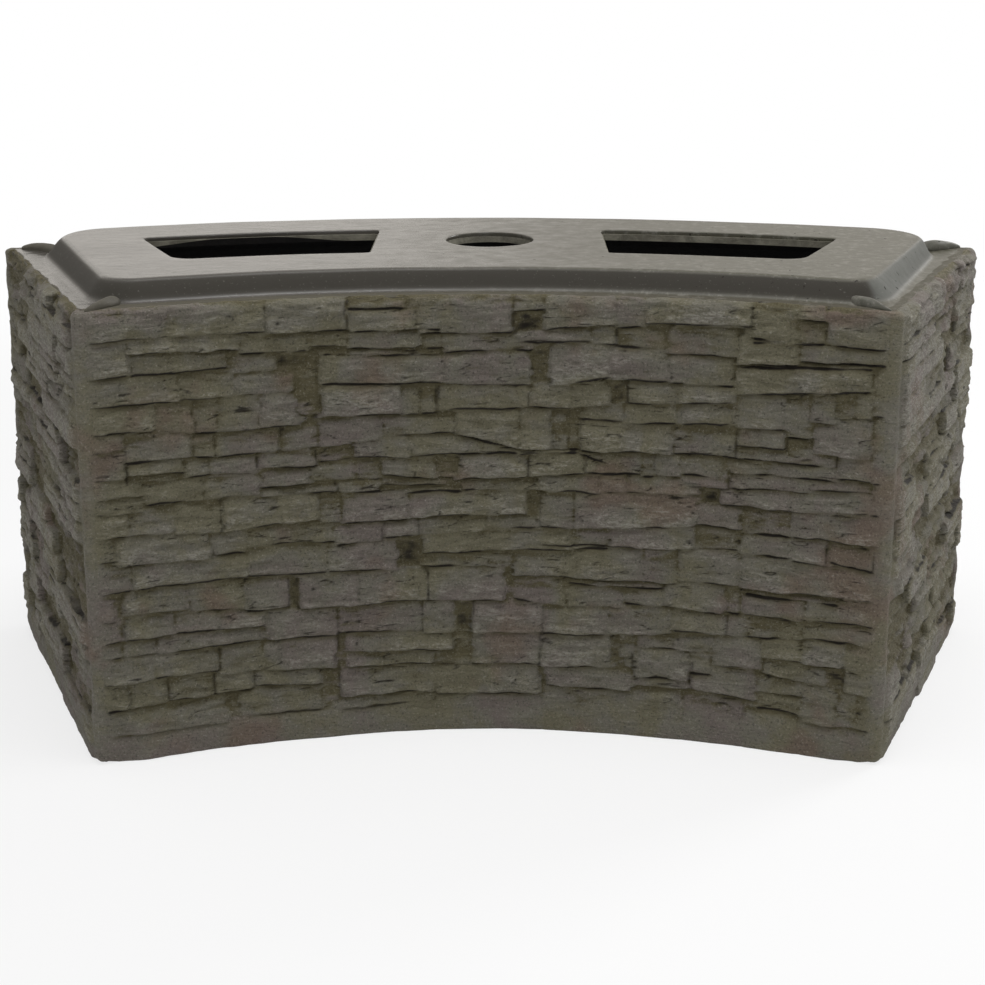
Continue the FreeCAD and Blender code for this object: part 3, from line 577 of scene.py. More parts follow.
def makeStoneFinish():
    material, tree, shader = newFinish("slate facing")
    coords = addNode(tree, "ShaderNodeTexCoord").outputs["Object"]
    layered = addNode(tree, "ShaderNodeMapping", {"Vector": coords, "Scale": (1.0, 1.0, 3.0)}).outputs["Vector"]
    tint = addNode(tree, "ShaderNodeAttribute", attribute_name="tint").outputs["Fac"]
    joint = addNode(tree, "ShaderNodeAttribute", attribute_name="joint").outputs["Fac"]
    near = addNode(tree, "ShaderNodeAttribute", attribute_name="washAndShade").outputs["Fac"]
    rise = addNode(tree, "ShaderNodeAttribute", attribute_name="rise").outputs["Fac"]
    clouds = addNoise(tree, coords, 15.0, 4.0, 0.6, 0.4)
    rusty = addNoise(tree, addNode(tree, "ShaderNodeMapping", {"Vector": coords, "Location": (3.1, 1.7, 0.4)}).outputs["Vector"], 16.0, 3.0)
    mottle = addNoise(tree, layered, 48.0, 5.0, 0.62, 0.8)
    strokes = addNoise(tree, layered, 210.0, 4.0, 0.7, 0.5)
    speckle = addNoise(tree, coords, 620.0, 3.0, 0.75)
    # the brushed grey and violet over the olive ground
    own = addMath(tree, "ADD", addMath(tree, "MULTIPLY", tint, 0.1), addMath(tree, "MULTIPLY", clouds, 1.0))
    own = addMath(tree, "ADD", own, addMath(tree, "MULTIPLY", mottle, 0.2))
    brushed = addRamp(tree, own, [(0.55, slate["olive"]), (0.66, slate["grey"]), (0.8, slate["violet"])])
    brushed = addMix(tree, addRange(tree, rusty, 0.54, 0.68, 0.0, 0.75), brushed, slate["rust"])
    cover = addMath(tree, "ADD", addRange(tree, rise, -4.0, 0.6, 0.0, 0.62), addMath(tree, "MULTIPLY", strokes, 0.7))
    cover = addMath(tree, "ADD", cover, addMath(tree, "MULTIPLY", mottle, 0.55))
    stone = addMix(tree, addRange(tree, cover, 0.62, 1.12), slate["ground"], brushed)
    # fine light and dark grain of the paint
    stone = addMix(tree, addRange(tree, speckle, 0.56, 0.74, 0.0, 0.4), stone, slate["dry"])
    stone = addMix(tree, addRange(tree, speckle, 0.3, 0.46, 0.6, 0.0), stone, slate["line"])
    high = addMath(tree, "MULTIPLY", addRange(tree, rise, 0.0, 2.6), addRange(tree, strokes, 0.42, 0.66))
    stone = addMix(tree, addMath(tree, "MULTIPLY", high, 0.35), stone, slate["dry"])
    # olive wash beside the joints, partly the real wash and partly painted shade under the stones' feet, and dark lines
    # in them
    washAndShade = addMath(tree, "MULTIPLY", near, addRange(tree, mottle, 0.3, 0.6, 0.25, 0.8))
    stone = addMix(tree, washAndShade, stone, slate["ground"])
    # the dark lines are the joints, and in the notches also painted shade
    deep = addMath(tree, "ADD", joint, addMath(tree, "MULTIPLY", strokes, 0.3))
    stone = addMix(tree, addRange(tree, deep, 0.3, 0.85, 0.0, 0.97), stone, slate["line"])
    tree.links.new(stone, shader.inputs["Base Color"])
    shader.inputs["Roughness"].default_value = slate["roughness"]
    shader.inputs["Specular IOR Level"].default_value = slate["specular"]
    grain = addMath(tree, "ADD", mottle, addMath(tree, "MULTIPLY", strokes, 0.55))
    grain = addMath(tree, "ADD", grain, addMath(tree, "MULTIPLY", speckle, 0.2))
    bump = addNode(tree, "ShaderNodeBump", {"Height": grain, "Strength": 1.0, "Distance": 0.0035})
    tree.links.new(bump.outputs["Normal"], shader.inputs["Normal"])
    return material


deckPaint = {
    "light": shadeOf(74, 71, 66),
    "dark": shadeOf(58, 55, 50),
    "rightOlive": shadeOf(68, 66, 53),  # olive that the deck turns to towards the right
    # painted shade: the plinth's slopes are painted darker than its top
    "slope": shadeOf(56, 53, 47),
    "paintedHighlight": shadeOf(97, 98, 93),  # painted highlight on the slope at the right end
    "ledge": shadeOf(76, 72, 60),
    "scuff": shadeOf(168, 165, 157),
    "pit": shadeOf(34, 30, 24),
    "roughness": (0.18, 0.43),
    "matt": 0.9,
    "specular": 0.45,
}


def makeDeckFinish():
    material, tree, shader = newFinish("smooth deck")
    coords = addNode(tree, "ShaderNodeTexCoord").outputs["Object"]
    worn = addNode(tree, "ShaderNodeAttribute", attribute_name="worn").outputs["Fac"]
    slope = addNode(tree, "ShaderNodeAttribute", attribute_name="slope").outputs["Fac"]
    paintedHighlight = addNode(tree, "ShaderNodeAttribute", attribute_name="paintedHighlight").outputs["Fac"]
    across = addNode(tree, "ShaderNodeSeparateXYZ", {"Vector": coords}).outputs["X"]
    brushed = addNode(tree, "ShaderNodeMapping", {"Vector": coords, "Scale": (1.0, 1.5, 1.0)}).outputs["Vector"]
    clouds = addNoise(tree, coords, 9.0, 4.0)
    strokes = addNoise(tree, brushed, 60.0, 6.0, 0.62, 0.3)
    specks = addNoise(tree, coords, 520.0, 3.0, 0.6)
    chips = addNoise(tree, coords, 190.0, 2.0, 0.5)
    colour = addMix(tree, addRange(tree, clouds, 0.35, 0.65), deckPaint["dark"], deckPaint["light"])
    # the deck turns more olive towards the right
    rightward = addMath(tree, "ADD", addRange(tree, across, -0.36, 0.4, 0.0, 0.85), addMath(tree, "MULTIPLY", strokes, 0.4))
    rightward = addRange(tree, rightward, 0.3, 0.95)
    colour = addMix(tree, rightward, colour, deckPaint["rightOlive"])
    colour = addMix(tree, addRange(tree, strokes, 0.5, 0.75, 0.0, 0.3), colour, deckPaint["dark"])
    # painted shade: the slopes are darker than the top
    colour = addMix(tree, slope, colour, deckPaint["slope"])
    # painted highlight on the slope at the right end and on the stubs there
    colour = addMix(tree, addMath(tree, "MULTIPLY", paintedHighlight, addRange(tree, strokes, 0.2, 0.7, 0.65, 1.0)), colour, deckPaint["paintedHighlight"])
    outer = addRange(tree, addMath(tree, "ADD", worn, addMath(tree, "MULTIPLY", strokes, 0.5)), 0.7, 1.3)
    colour = addMix(tree, outer, colour, deckPaint["ledge"])
    colour = addMix(tree, addRange(tree, specks, 0.62, 0.78, 0.0, 0.25), colour, deckPaint["scuff"])
    colour = addMix(tree, addRange(tree, specks, 0.25, 0.36, 0.4, 0.0), colour, deckPaint["pit"])
    colour = addMix(tree, addRange(tree, chips, 0.81, 0.84, 0.0, 0.8), colour, deckPaint["scuff"])
    mottle = addRange(tree, addNoise(tree, coords, 130.0, 6.0, 0.7), 0.48, 0.7, 0.0, 0.25)
    mottle = addMath(tree, "MULTIPLY", mottle, addMath(tree, "SUBTRACT", rightward, addMath(tree, "MULTIPLY", slope, rightward)))
    colour = addMix(tree, mottle, colour, deckPaint["scuff"])
    pits = addRange(tree, addMath(tree, "SUBTRACT", chips, addMath(tree, "MULTIPLY", rightward, 0.06)), 0.2, 0.24, 1.0, 0.0)
    colour = addMix(tree, pits, colour, deckPaint["pit"])
    tree.links.new(colour, shader.inputs["Base Color"])
    # a satin sheen on the flat top, none on the slopes and the worn stone of the ledge
    matt = addMath(tree, "MAXIMUM", addMath(tree, "MAXIMUM", outer, slope), pits)
    rub = addMath(tree, "ADD", addMath(tree, "MULTIPLY", strokes, 0.5), addMath(tree, "MULTIPLY", specks, 0.35))
    satin = addRange(tree, addMath(tree, "ADD", rightward, rub), 0.2, 1.4, *deckPaint["roughness"])
    gap = addMath(tree, "SUBTRACT", deckPaint["matt"], satin)
    tree.links.new(addMath(tree, "ADD", satin, addMath(tree, "MULTIPLY", gap, matt)), shader.inputs["Roughness"])
    shader.inputs["Specular IOR Level"].default_value = deckPaint["specular"]
    grain = addMath(tree, "ADD", strokes, addMath(tree, "MULTIPLY", specks, addRange(tree, outer, 0.0, 1.0, 0.1, 0.6)))
    bump = addNode(tree, "ShaderNodeBump", {"Height": grain, "Strength": 0.4, "Distance": 0.001})
    tree.links.new(bump.outputs["Normal"], shader.inputs["Normal"])
    return material


# near-black paint inside the section: partly its dark inside, partly painted shade of the hollow
cavity = {
    "light": shadeOf(17, 14, 13),
    "dark": shadeOf(9, 8, 7),
    "coarse": 70.0,
    "grain": 500.0,
    "roughness": 0.9,
}
rim = {
    "light": shadeOf(132, 129, 116),
    "dark": shadeOf(100, 97, 86),
    "foot": 344.3,  # the rims of the openings are grey down to here, and below it near black as painted shade of the cavity
    "dip": (-200.0, 90.0, 5.0),  # where the painted shade in the left opening reaches higher, how far along, and how high
}


def makeCavityFinish(name, rims=False):
    material, tree, shader = newFinish(name)
    coords = addNode(tree, "ShaderNodeTexCoord").outputs["Object"]
    lumps = addNoise(tree, coords, cavity["coarse"], 6.0, 0.65, 0.4)
    grain = addNoise(tree, coords, cavity["grain"], 4.0, 0.7)
    share = addRange(tree, lumps, 0.35, 0.68)
    colour = addMix(tree, share, cavity["dark"], cavity["light"])
    # on the rims, grey above a ragged line and near black below it as painted shade of the cavity
    if rims:
        place = addNode(tree, "ShaderNodeSeparateXYZ", {"Vector": coords})
        middle, reach, high = rim["dip"]
        away = addMath(tree, "ABSOLUTE", addMath(tree, "SUBTRACT", place.outputs["X"], middle * mm))
        dip = addRange(tree, away, 0.2 * reach * mm, reach * mm, high * mm, 0.0)
        ragged = addMath(tree, "MULTIPLY", lumps, 0.5 * mm)
        level = addMath(tree, "SUBTRACT", addMath(tree, "SUBTRACT", place.outputs["Z"], dip), ragged)
        painted = addRange(tree, level, (rim["foot"] - 0.4) * mm, rim["foot"] * mm)
        colour = addMix(tree, painted, colour, addMix(tree, share, rim["dark"], rim["light"]))
    tree.links.new(colour, shader.inputs["Base Color"])
    shader.inputs["Roughness"].default_value = cavity["roughness"]
    shader.inputs["Specular IOR Level"].default_value = 0.3
    height = addMath(tree, "ADD", lumps, addMath(tree, "MULTIPLY", grain, 0.3))
    bump = addNode(tree, "ShaderNodeBump", {"Height": height, "Strength": 0.7, "Distance": 0.002})
    tree.links.new(bump.outputs["Normal"], shader.inputs["Normal"])
    return material


stoneFinish = makeStoneFinish()
deckFinish = makeDeckFinish()
rimFinish = makeCavityFinish("opening rims", rims=True)
cavityShadeFinish = makeCavityFinish("dark cavity painted shade")
print("finishes made")

wallEdge = 5.0  # the walls stop this far from the end planes, under the corner seams
frontSpan = plan["frontRadius"] * (plan["turn"] - math.asin(wallEdge / plan["frontRadius"]))
frontCorners = ((left, False), (right, False))
buildWall("frontSlate", (-frontSpan, frontSpan), (256, 380), frontStones, 4, onFront, frontCorners, ["front_facing"], flare=4.0)

rearSpan = plan["rearRadius"] * (plan["turn"] - math.asin(wallEdge / plan["rearRadius"]))
rearReach = plan["rearRadius"] * (plan["turn"] - math.asin(plan["facing"] / plan["rearRadius"]))
rearStones = coursedStones(2 * rearReach, -rearReach, 11)
rearCorners = ((left, True), (right, True))
buildWall("rearSlate", (-rearSpan, rearSpan), (340, 280), rearStones, 11, onRear, rearCorners, ["rear_facing"])

depth = plan["rearRadius"] - plan["frontRadius"]
endReach = math.sqrt((plan["rearRadius"] - plan["facing"]) ** 2 - plan["facing"] ** 2) - plan["frontRadius"]
for side, word, seed in ((left, "left", 23), (right, "right", 37)):
    stones = coursedStones(endReach - plan["facing"], plan["facing"], seed)
    span = (wallEdge, depth - wallEdge)
    corners = ((side, False), (side, True))
    nodes = [word + "_end_facing"]
    buildWall(word + "EndSlate", span, (170, 280), stones, seed, onEnd(side), corners, nodes, bulge=1.35)
print("walls built")

deck = {
    "lip": 4.5,  # from the mean face of the stones to the deck's outer edge
    "footSide": 17.0,
    "footEnd": {left: (18.5, 24.0), right: (14.0, 27.0)},  # at the front and at the rear
    "corner": (33.0, 56.0),
    "rise": 16.0,
    "run": 9.4,
    "endRun": {left: (9.0, 13.0), right: (13.5, 7.0)},
    "wornSide": 20.0,  # how far the ledge is worn in from its edge
    "wornEnd": {left: 5.0, right: 10.0},
    "coveSoft": 6.0,
    "edgeSoft": 7.0,
    "thickness": 3.4,
    "rim": 1.0,
    "openingNear": 778.0,
    "openingFar": 885.0,
    "openingInner": 91.5,
    "openingOuter": 95.0,
    "largeCorner": 18.0,
    "smallCorner": 5.0,
    "holeRadius": 35.0,
    "holeCentre": 834.0,
    "holeBlock": 48.0,
}


def steps(start, stop, size):
    count = max(1, round(abs(stop - start) / size))
    return [start + (stop - start) * k / count for k in range(count)]


def deckRows():
    near, far = plan["frontRadius"], plan["rearRadius"]
    rows = steps(near + deck["lip"], near + 34, 1.2) + steps(near + 34, near + 62, 2.2)
    rows += steps(near + 62, deck["openingNear"], 4.5)
    low, high = deck["holeCentre"] - deck["holeBlock"], deck["holeCentre"] + deck["holeBlock"]
    rows += steps(deck["openingNear"], low, 4.0) + steps(low, high, 4.8) + steps(high, deck["openingFar"], 4.0)
    rows += steps(deck["openingFar"], far - 62, 4.5) + steps(far - 62, far - 34, 2.2)
    rows += steps(far - 34, far - deck["lip"], 1.2) + [far - deck["lip"]]
    return rows


def deckColumns():
    # (zone, value): "end" lies inset from the end plane, "between" is a share, "middle" is an x
    half = [("end", v) for v in steps(deck["lip"], 40, 1.3) + steps(40, 66, 2.2) + steps(66, deck["openingOuter"], 4.5)]
    half += [("between", v) for v in steps(0, 1, 0.028)]
    half += [("middle", v) for v in steps(deck["openingInner"], deck["holeBlock"], 4.5) + steps(deck["holeBlock"], 0, 4.8)]
    lefts = [(zone, v, left) for zone, v in half]
    rights = [(zone, v, right) for zone, v in reversed(half)]
    return lefts + [("middle", 0.0, left)] + rights


def columnAngle(column, radius):
    zone, value, side = column
    if zone == "end":
        return side * (plan["turn"] - math.asin(value / radius))
    inner = math.asin(deck["openingInner"] / radius)
    if zone == "middle":
        return side * math.asin(value / radius)
    outer = plan["turn"] - math.asin(deck["openingOuter"] / radius)
    return side * (outer + (inner - outer) * value)


def softMax(a, b, width):
    share = min(max(0.5 + 0.5 * (a - b) / width, 0.0), 1.0)
    return b + (a - b) * share + width * share * (1 - share)


def deckHeight(radius, angle):
    # the height here, how worn the ledge is, how much this is a slope of the plinth, and the painted highlight on its
    # right end slope
    toFront, toRear = radius - plan["frontRadius"], plan["rearRadius"] - radius
    hand = right if angle > 0 else left

    def between(pair):
        return pair[0] + (pair[1] - pair[0]) * toFront / (toFront + toRear)

    # distances in from the nearest long face and the nearest end
    side = min(toFront, toRear)
    end = radius * math.sin(plan["turn"] - abs(angle))
    endRun = between(deck["endRun"][hand])
    a, b = side - deck["footSide"], end - between(deck["footEnd"][hand])
    corner = deck["corner"][0 if toFront < toRear else 1]
    if a < corner and b < corner:
        inside = corner - math.hypot(corner - a, corner - b)
        run = deck["run"] + (endRun - deck["run"]) * smoothStep((a - b) / corner, -0.8, 0.8)
    else:
        inside = min(a, b)
        run = deck["run"] if a < b else endRun
    ramp = softMax(inside * deck["rise"] / run, 0.0, deck["coveSoft"])
    rise = -softMax(-ramp, -deck["rise"], deck["edgeSoft"])
    slope = smoothStep(rise, 0.6, 4.0) * (1 - smoothStep(rise, deck["rise"] - 2.4, deck["rise"] - 0.5))
    # the slope at the right end is painted paler, a painted highlight
    paintedHighlight = slope * smoothStep(a - b, -4.0, 6.0) if hand == right else 0.0
    spot = Vector((radius * math.sin(angle), radius * math.cos(angle), 2))
    wave = 0.3 * noise.noise(spot / 60) - 0.3
    # the ledge is uneven, and its edge wanders where it meets the stones
    wave += (1 - smoothStep(inside, -8.0, 0.0)) * 0.3 * noise.fractal(spot / 9, 1.0, 2.0, 3)
    edge = min(side, end) - deck["lip"]
    wide = deck["wornSide"] + (deck["wornEnd"][hand] - deck["wornSide"]) * smoothStep(side - end, -6.0, 6.0)
    worn = 1 - smoothStep(edge + 2.5 * noise.noise(spot / 14), wide - 3.0, wide)
    worn *= 1 - smoothStep(inside, -3.0, 0.5)
    edge -= 1.2 + 1.2 * noise.noise(spot / 8)
    return plan["ledgeZ"] + rise + wave - roundShoulder(edge, 1.5), worn, slope, paintedHighlight


def buildDeck():
    rows, columns = deckRows(), deckColumns()
    lastRow, lastColumn = len(rows) - 1, len(columns) - 1
    bm = bmesh.new()
    bmesh.ops.create_grid(bm, x_segments=lastColumn, y_segments=lastRow, size=0.5)
    spots = {}
    worn = bm.verts.layers.float.new("worn")
    slope = bm.verts.layers.float.new("slope")
    paintedHighlight = bm.verts.layers.float.new("paintedHighlight")
    for vert in bm.verts:
        i, j = round((vert.co.x + 0.5) * lastColumn), round((vert.co.y + 0.5) * lastRow)
        radius = rows[j]
        angle = columnAngle(columns[i], radius)
        spots[i, j] = vert
        height, vert[worn], vert[slope], vert[paintedHighlight] = deckHeight(radius, angle)
        vert.co = Vector((radius * math.sin(angle), radius * math.cos(angle), height))

    def nearest(values, wanted):
        return min(range(len(values)), key=lambda k: abs(values[k] - wanted))

    near, far = nearest(rows, deck["openingNear"]), nearest(rows, deck["openingFar"])
    blockLow = nearest(rows, deck["holeCentre"] - deck["holeBlock"])
    blockHigh = nearest(rows, deck["holeCentre"] + deck["holeBlock"])
    firstBetween = next(k for k, c in enumerate(columns) if c[0] == "between")
    innerEdge = next(k for k, c in enumerate(columns) if c[0] == "middle")
    blockEdge = next(k for k, c in enumerate(columns) if c[0] == "middle" and abs(c[1] - deck["holeBlock"]) < 0.01)
    cuts = [
        (firstBetween, innerEdge, near, far),
        (lastColumn - innerEdge, lastColumn - firstBetween, near, far),
        (blockEdge, lastColumn - blockEdge, blockLow, blockHigh),
    ]
    doomed = []
    for first, last, low, high in cuts:
        corners = {spots[i, j] for i in range(first, last + 1) for j in range(low, high + 1)}
        doomed += [f for f in bm.faces if all(v in corners for v in f.verts)]
    bmesh.ops.delete(bm, geom=doomed, context="FACES")

    # the square gap round the pipe hole closes in to a circle
    ring = [spots[blockEdge, j] for j in range(blockLow, blockHigh + 1)]
    ring += [spots[lastColumn - blockEdge, j] for j in range(blockLow, blockHigh + 1)]
    ring += [spots[i, j] for i in range(blockEdge, lastColumn - blockEdge + 1) for j in (blockLow, blockHigh)]
    ring = set(ring)
    edges = [e for e in bm.edges if e.is_boundary and all(v in ring for v in e.verts)]
    centre = Vector((0, deck["holeCentre"], 0))
    for reach in (deck["holeRadius"] + 4, deck["holeRadius"]):
        made = bmesh.ops.extrude_edge_only(bm, edges=edges)["geom"]
        edges = [g for g in made if isinstance(g, bmesh.types.BMEdge) and g.is_boundary]
        for vert in (g for g in made if isinstance(g, bmesh.types.BMVert)):
            way = Vector((vert.co.x, vert.co.y, 0)) - centre
            vert.co = centre + way.normalized() * reach + Vector((0, 0, vert.co.z))

    # rounded corners of the hand openings
    for side in (left, right):
        def column(k):
            return k if side == left else lastColumn - k
        for i, j, size in ((firstBetween, near, deck["largeCorner"]), (firstBetween, far, deck["smallCorner"]),
                           (innerEdge, near, deck["smallCorner"]), (innerEdge, far, deck["smallCorner"])):
            inI, inJ = (1 if i == firstBetween else -1), (1 if j == near else -1)
            corner = spots[column(i), j].co.copy()
            alongI = (spots[column(i + inI), j].co - corner).normalized()
            alongJ = (spots[column(i), j + inJ].co - corner).normalized()
            middle = corner + (alongI + alongJ) * size
            for k in range(12):
                for vert in {spots[column(i + inI * k), j], spots[column(i), j + inJ * k]}:
                    if (vert.co - corner).length < size:
                        way = vert.co - middle
                        vert.co = middle + way.normalized() * size

    bmesh.ops.recalc_face_normals(bm, faces=bm.faces)
    if sum(f.normal.z for f in bm.faces) < 0:
        bmesh.ops.reverse_faces(bm, faces=bm.faces)
    for vert in bm.verts:
        vert.co.y += plan["ringY"]
        vert.co *= mm
    bmesh.ops.solidify(bm, geom=bm.faces[:], thickness=deck["thickness"] * mm)
    # the rims of the openings are rounded over
    high = (plan["topZ"] - 1.5) * mm
    rims = [e for e in bm.edges if e.calc_face_angle(0) > 1.0 and all(v.co.z > high for v in e.verts)]
    bmesh.ops.bevel(bm, geom=rims, offset=deck["rim"] * mm, affect="EDGES", segments=3, profile=0.5, material=-1)
    piece = finishPiece("deckShell", bm, ["deck_face"], deckFinish)
    piece.data.set_sharp_from_angle(angle=math.radians(50))


buildDeck()
print("deck built")


seam = {
    "nose": 6.0,
    "flat": 4.5,  # how far a seam runs on under the walls beside it
    "deep": 8.5,
    "cells": (20, 260),
}


def buildCornerSeam(side, far):
    word = ("rear" if far else "front") + ("Left" if side == left else "Right")
    node = "corner_bead_" + ("rear" if far else "front") + ("_left" if side == left else "_right")
    radius = plan["rearRadius"] if far else plan["frontRadius"]
    inward = -1 if far else 1
    height = plan["ledgeZ"]
    nose, flat = seam["nose"], seam["flat"]
    bow = nose * math.pi / 2
    around, up = seam["cells"]

    def spot(fromRing, fromEnd, z):
        return endPoint(math.sqrt((radius + inward * fromRing) ** 2 - fromEnd**2), fromEnd, side, z)

    bm = bmesh.new()
    bmesh.ops.create_grid(bm, x_segments=around, y_segments=up, size=0.5)
    joint = bm.verts.layers.float.new("joint")
    washAndShade = bm.verts.layers.float.new("washAndShade")
    tint = bm.verts.layers.float.new("tint")
    rise = bm.verts.layers.float.new("rise")
    for vert in bm.verts:
        z, pull, turned = overTheTop((vert.co.y + 0.5) * (height + relief["overTop"] - 1.5))
        # from the ring's face, round the corner, to the end's face
        run = (vert.co.x + 0.5) * (2 * flat + bow)
        beyond = max(flat - run, run - flat - bow, 0.0)
        angle = min(max((run - flat) / nose, 0.0), math.pi / 2)
        centre = max(nose, pull + 0.3)
        a, b = centre - (centre - pull) * math.cos(angle), centre - (centre - pull) * math.sin(angle)
        a, b = a + (beyond if run > flat else 0), b + (beyond if run < flat else 0)
        point = spot(a, b, z)
        out = cornerLevel(side, far, point)
        vert[joint] = 0.0
        vert[washAndShade] = 0.0
        vert[tint] = 0.5
        # rise also carries the lighter paint of the corner, partly a painted highlight
        vert[rise] = out + cornerWearAndHighlight(max(a, b))
        out -= relief["cornerDip"] * smoothStep(beyond, 2.0, flat) + roundShoulder(z, relief["cornerFoot"])
        out *= max(1 - pull / 9, 0.0)
        vert.co = spot(a - out * math.cos(angle), b - out * math.sin(angle), z + turned * rimLift(point, pull))
    backs = [e for e in bm.edges if e.is_boundary]
    made = bmesh.ops.extrude_edge_only(bm, edges=backs)["geom"]
    deep = spot(seam["deep"], seam["deep"], 0)
    for vert in (g for g in made if isinstance(g, bmesh.types.BMVert)):
        vert.co.x, vert.co.y = deep.x, deep.y
    bmesh.ops.remove_doubles(bm, verts=bm.verts, dist=1e-5)
    bmesh.ops.recalc_face_normals(bm, faces=bm.faces)
    finishPiece("cornerSeam" + word, bm, [node], stoneFinish)


for side in (left, right):
    for far in (False, True):
        buildCornerSeam(side, far)
print("corners built")

# Stubs on the ledge: tip and root set in from the long face and the end, and the shape of each lump
stubs = {
    (left, False): {"tip": (3.4, 9.0), "root": (23.0, 38.0), "wide": 5.5, "high": (3.5, 8.5), "point": 0.3},
    (right, False): {"tip": (6.0, 9.0), "root": (24.0, 43.0), "wide": 5.0, "high": (2.5, 9.0), "point": 0.35},
    (left, True): {"tip": (11.0, 13.0), "root": (40.0, 40.0), "wide": 7.0, "high": (4.5, 6.5), "point": 0.6},
    (right, True): {"tip": (5.0, 13.0), "root": (38.0, 45.0), "wide": 6.5, "high": (5.0, 9.0), "point": 0.5},
}


def buildStub(side, far, shape):
    words = "rear" if far else "front", "left" if side == left else "right"
    radius = plan["rearRadius"] if far else plan["frontRadius"]
    inward = -1 if far else 1

    def spot(fromRing, fromEnd):
        along = math.sqrt((radius + inward * fromRing) ** 2 - fromEnd**2)
        return endPoint(along, fromEnd, side, plan["ledgeZ"])

    tip, root = spot(*shape["tip"]), spot(*shape["root"])
    up = Vector((0, 0, 1))
    across = (root - tip).cross(up).normalized()
    bm = bmesh.new()
    bmesh.ops.create_uvsphere(bm, u_segments=40, v_segments=56, radius=1.0)
    worn = bm.verts.layers.float.new("worn")
    paintedHighlight = bm.verts.layers.float.new("paintedHighlight")
    for vert in bm.verts:
        share = (1 - vert.co.z) / 2
        lump = 1 + 0.16 * noise.noise(vert.co * 1.3 + Vector((side * 3, far * 5, 1)))
        taper = shape["point"] + (1 - shape["point"]) * share
        low, high = shape["high"]
        rise = (low + (high - low) * share) * vert.co.y if vert.co.y > 0 else 3.0 * vert.co.y
        vert[worn] = 0.8 if side == left else 0.4
        # the stubs at the right end carry the painted highlight of that end
        vert[paintedHighlight] = 0.0 if side == left else 0.4
        vert.co = tip + (root - tip) * share + across * shape["wide"] * taper * lump * vert.co.x * mm
        vert.co += up * rise * lump * mm
    bmesh.ops.recalc_face_normals(bm, faces=bm.faces)
    finishPiece("stub" + words[0].title() + words[1].title(), bm, ["ledge_stub_" + "_".join(words)], deckFinish)


for (side, far), shape in stubs.items():
    buildStub(side, far, shape)
print("stubs built")

# the CAD parts that still show are near black, partly painted shade of the cavity; the deck's backing gets the rims
for name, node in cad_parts.items():
    if node.hide_render:
        continue
    node.data.materials.clear()
    node.data.materials.append(rimFinish if name == "deck_backing" else cavityShadeFinish)

studio = {
    "floor": 30.0,
    "floorColour": (0.84, 0.84, 0.84, 1.0),
    "plain": (0.75, 1.9),  # from here outwards the floor turns into the plain white background
    "shadow": 0.27,  # how much of the floor's own shade shows near the object
    "soft": 0.55,  # strength of the white surroundings as light
    "dim": 0.3,  # strength of what shines back from the front
    "shine": (1.0, 0.955, 0.89, 1.0),
}


def buildStage():
    bm = bmesh.new()
    bmesh.ops.create_grid(bm, x_segments=1, y_segments=1, size=studio["floor"])
    mesh = bpy.data.meshes.new("studioFloor")
    bm.to_mesh(mesh)
    bm.free()
    floor = bpy.data.objects.new("studioFloor", mesh)
    bpy.context.scene.collection.objects.link(floor)
    material, tree, shader = newFinish("studio floor")
    shader.inputs["Base Color"].default_value = studio["floorColour"]
    shader.inputs["Roughness"].default_value = 0.9
    shader.inputs["Specular IOR Level"].default_value = 0.1
    coords = addNode(tree, "ShaderNodeTexCoord").outputs["Object"]
    distance = addNode(tree, "ShaderNodeVectorMath", {0: coords}, operation="LENGTH").outputs["Value"]
    share = addRange(tree, distance, *studio["plain"], 1 - studio["shadow"], 1.0)
    path = addNode(tree, "ShaderNodeLightPath")
    seen = addMath(tree, "MAXIMUM", path.outputs["Is Camera Ray"], path.outputs["Is Glossy Ray"])
    plain = addNode(tree, "ShaderNodeEmission", {"Color": (1, 1, 1, 1), "Strength": 1.0})
    mix = addNode(tree, "ShaderNodeMixShader", {0: addMath(tree, "MULTIPLY", seen, share)})
    tree.links.new(shader.outputs[0], mix.inputs[1])
    tree.links.new(plain.outputs[0], mix.inputs[2])
    tree.links.new(mix.outputs[0], tree.nodes["Material Output"].inputs["Surface"])
    mesh.materials.append(material)


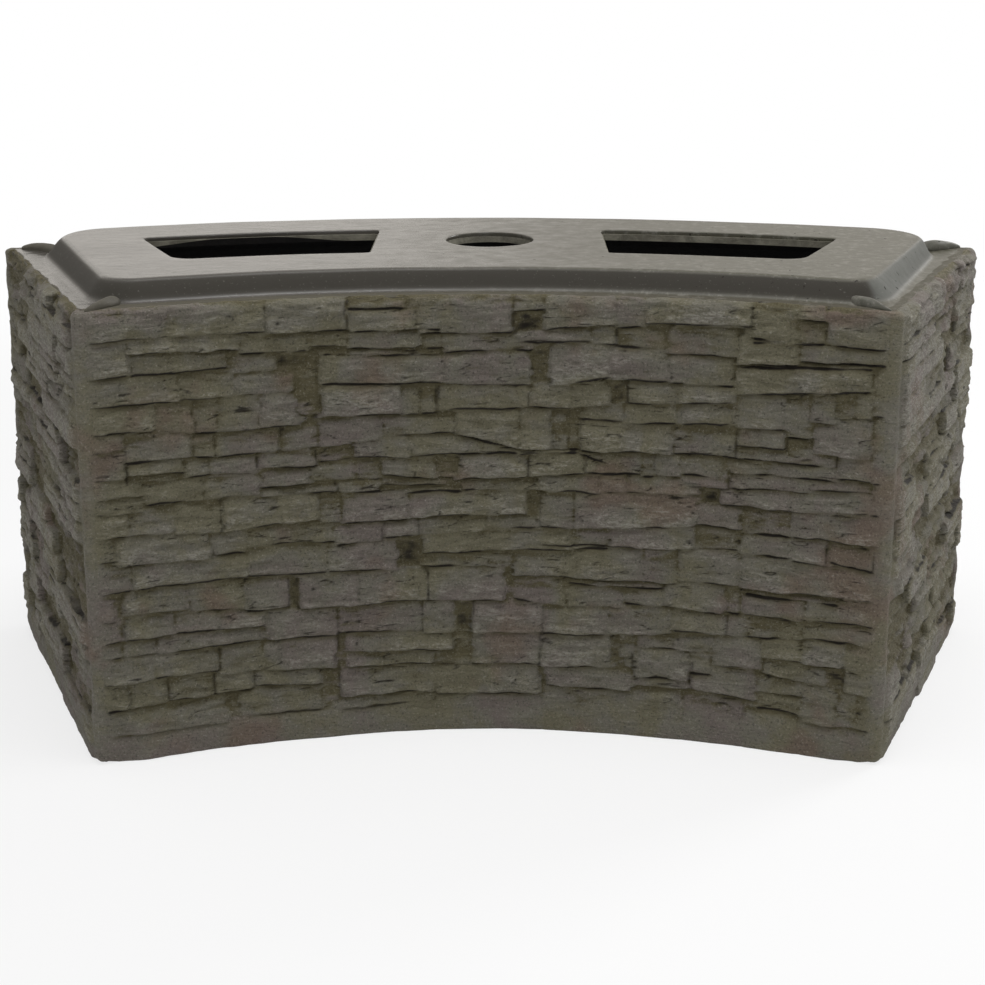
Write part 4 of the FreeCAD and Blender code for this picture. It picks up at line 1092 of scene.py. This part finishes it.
def buildWorld():
    world = bpy.data.worlds.new("studio")
    bpy.context.scene.world = world
    world.use_nodes = True
    tree = world.node_tree
    tree.nodes.clear()
    path = addNode(tree, "ShaderNodeLightPath")
    way = addNode(tree, "ShaderNodeTexCoord").outputs["Generated"]
    depth = addNode(tree, "ShaderNodeSeparateXYZ", {"Vector": way}).outputs["Y"]
    sheen = addRange(tree, depth, -0.4, 0.3, studio["dim"], 1.0)
    soft = addNode(tree, "ShaderNodeBackground", {"Color": (1, 1, 1, 1), "Strength": studio["soft"]})
    shine = addNode(tree, "ShaderNodeBackground", {"Color": studio["shine"], "Strength": sheen})
    white = addNode(tree, "ShaderNodeBackground", {"Color": (1, 1, 1, 1), "Strength": 1.0})
    glossy = addNode(tree, "ShaderNodeMixShader", {0: path.outputs["Is Glossy Ray"]})
    tree.links.new(soft.outputs[0], glossy.inputs[1])
    tree.links.new(shine.outputs[0], glossy.inputs[2])
    seen = addMath(tree, "MAXIMUM", path.outputs["Is Camera Ray"], path.outputs["Is Transmission Ray"])
    mix = addNode(tree, "ShaderNodeMixShader", {0: seen})
    tree.links.new(glossy.outputs[0], mix.inputs[1])
    tree.links.new(white.outputs[0], mix.inputs[2])
    output = addNode(tree, "ShaderNodeOutputWorld")
    tree.links.new(mix.outputs[0], output.inputs["Surface"])


def addLamp(name, place, target, size, power):
    lamp = bpy.data.lights.new(name, "AREA")
    lamp.shape = "RECTANGLE"
    lamp.size, lamp.size_y = size
    lamp.energy = power
    rig = bpy.data.objects.new(name, lamp)
    rig.location = place
    rig.rotation_euler = (Vector(target) - Vector(place)).to_track_quat("-Z", "Y").to_euler()
    bpy.context.scene.collection.objects.link(rig)


def addCamera():
    camera = bpy.data.cameras.new("photograph")
    camera.sensor_width = 36.0
    camera.lens = 63.11
    camera.shift_x = -0.0089
    camera.shift_y = -0.1607
    camera.clip_start = 0.05
    camera.clip_end = 30.0
    rig = bpy.data.objects.new("photograph", camera)
    rig.location = (10.626 * mm, (plan["ringY"] - 534.738) * mm, 582.881 * mm)
    rig.rotation_euler = (math.pi / 2 - 0.22159, 0.0, 0.00096)
    bpy.context.scene.collection.objects.link(rig)
    bpy.context.scene.camera = rig


buildStage()
buildWorld()
addLamp("overhead", (0.1, -0.3, 2.2), (0, 0, 0.2), (1.2, 0.8), 20)
addLamp("frontFill", (0.4, -2.8, 1.6), (0, 0, 0.2), (1.6, 1.0), 8)
addLamp("rightFill", (1.9, 1.1, 1.3), (0.3, 0, 0.2), (0.8, 0.6), 21)
addCamera()
bpy.context.scene.view_settings.view_transform = "Standard"
print("studio ready")
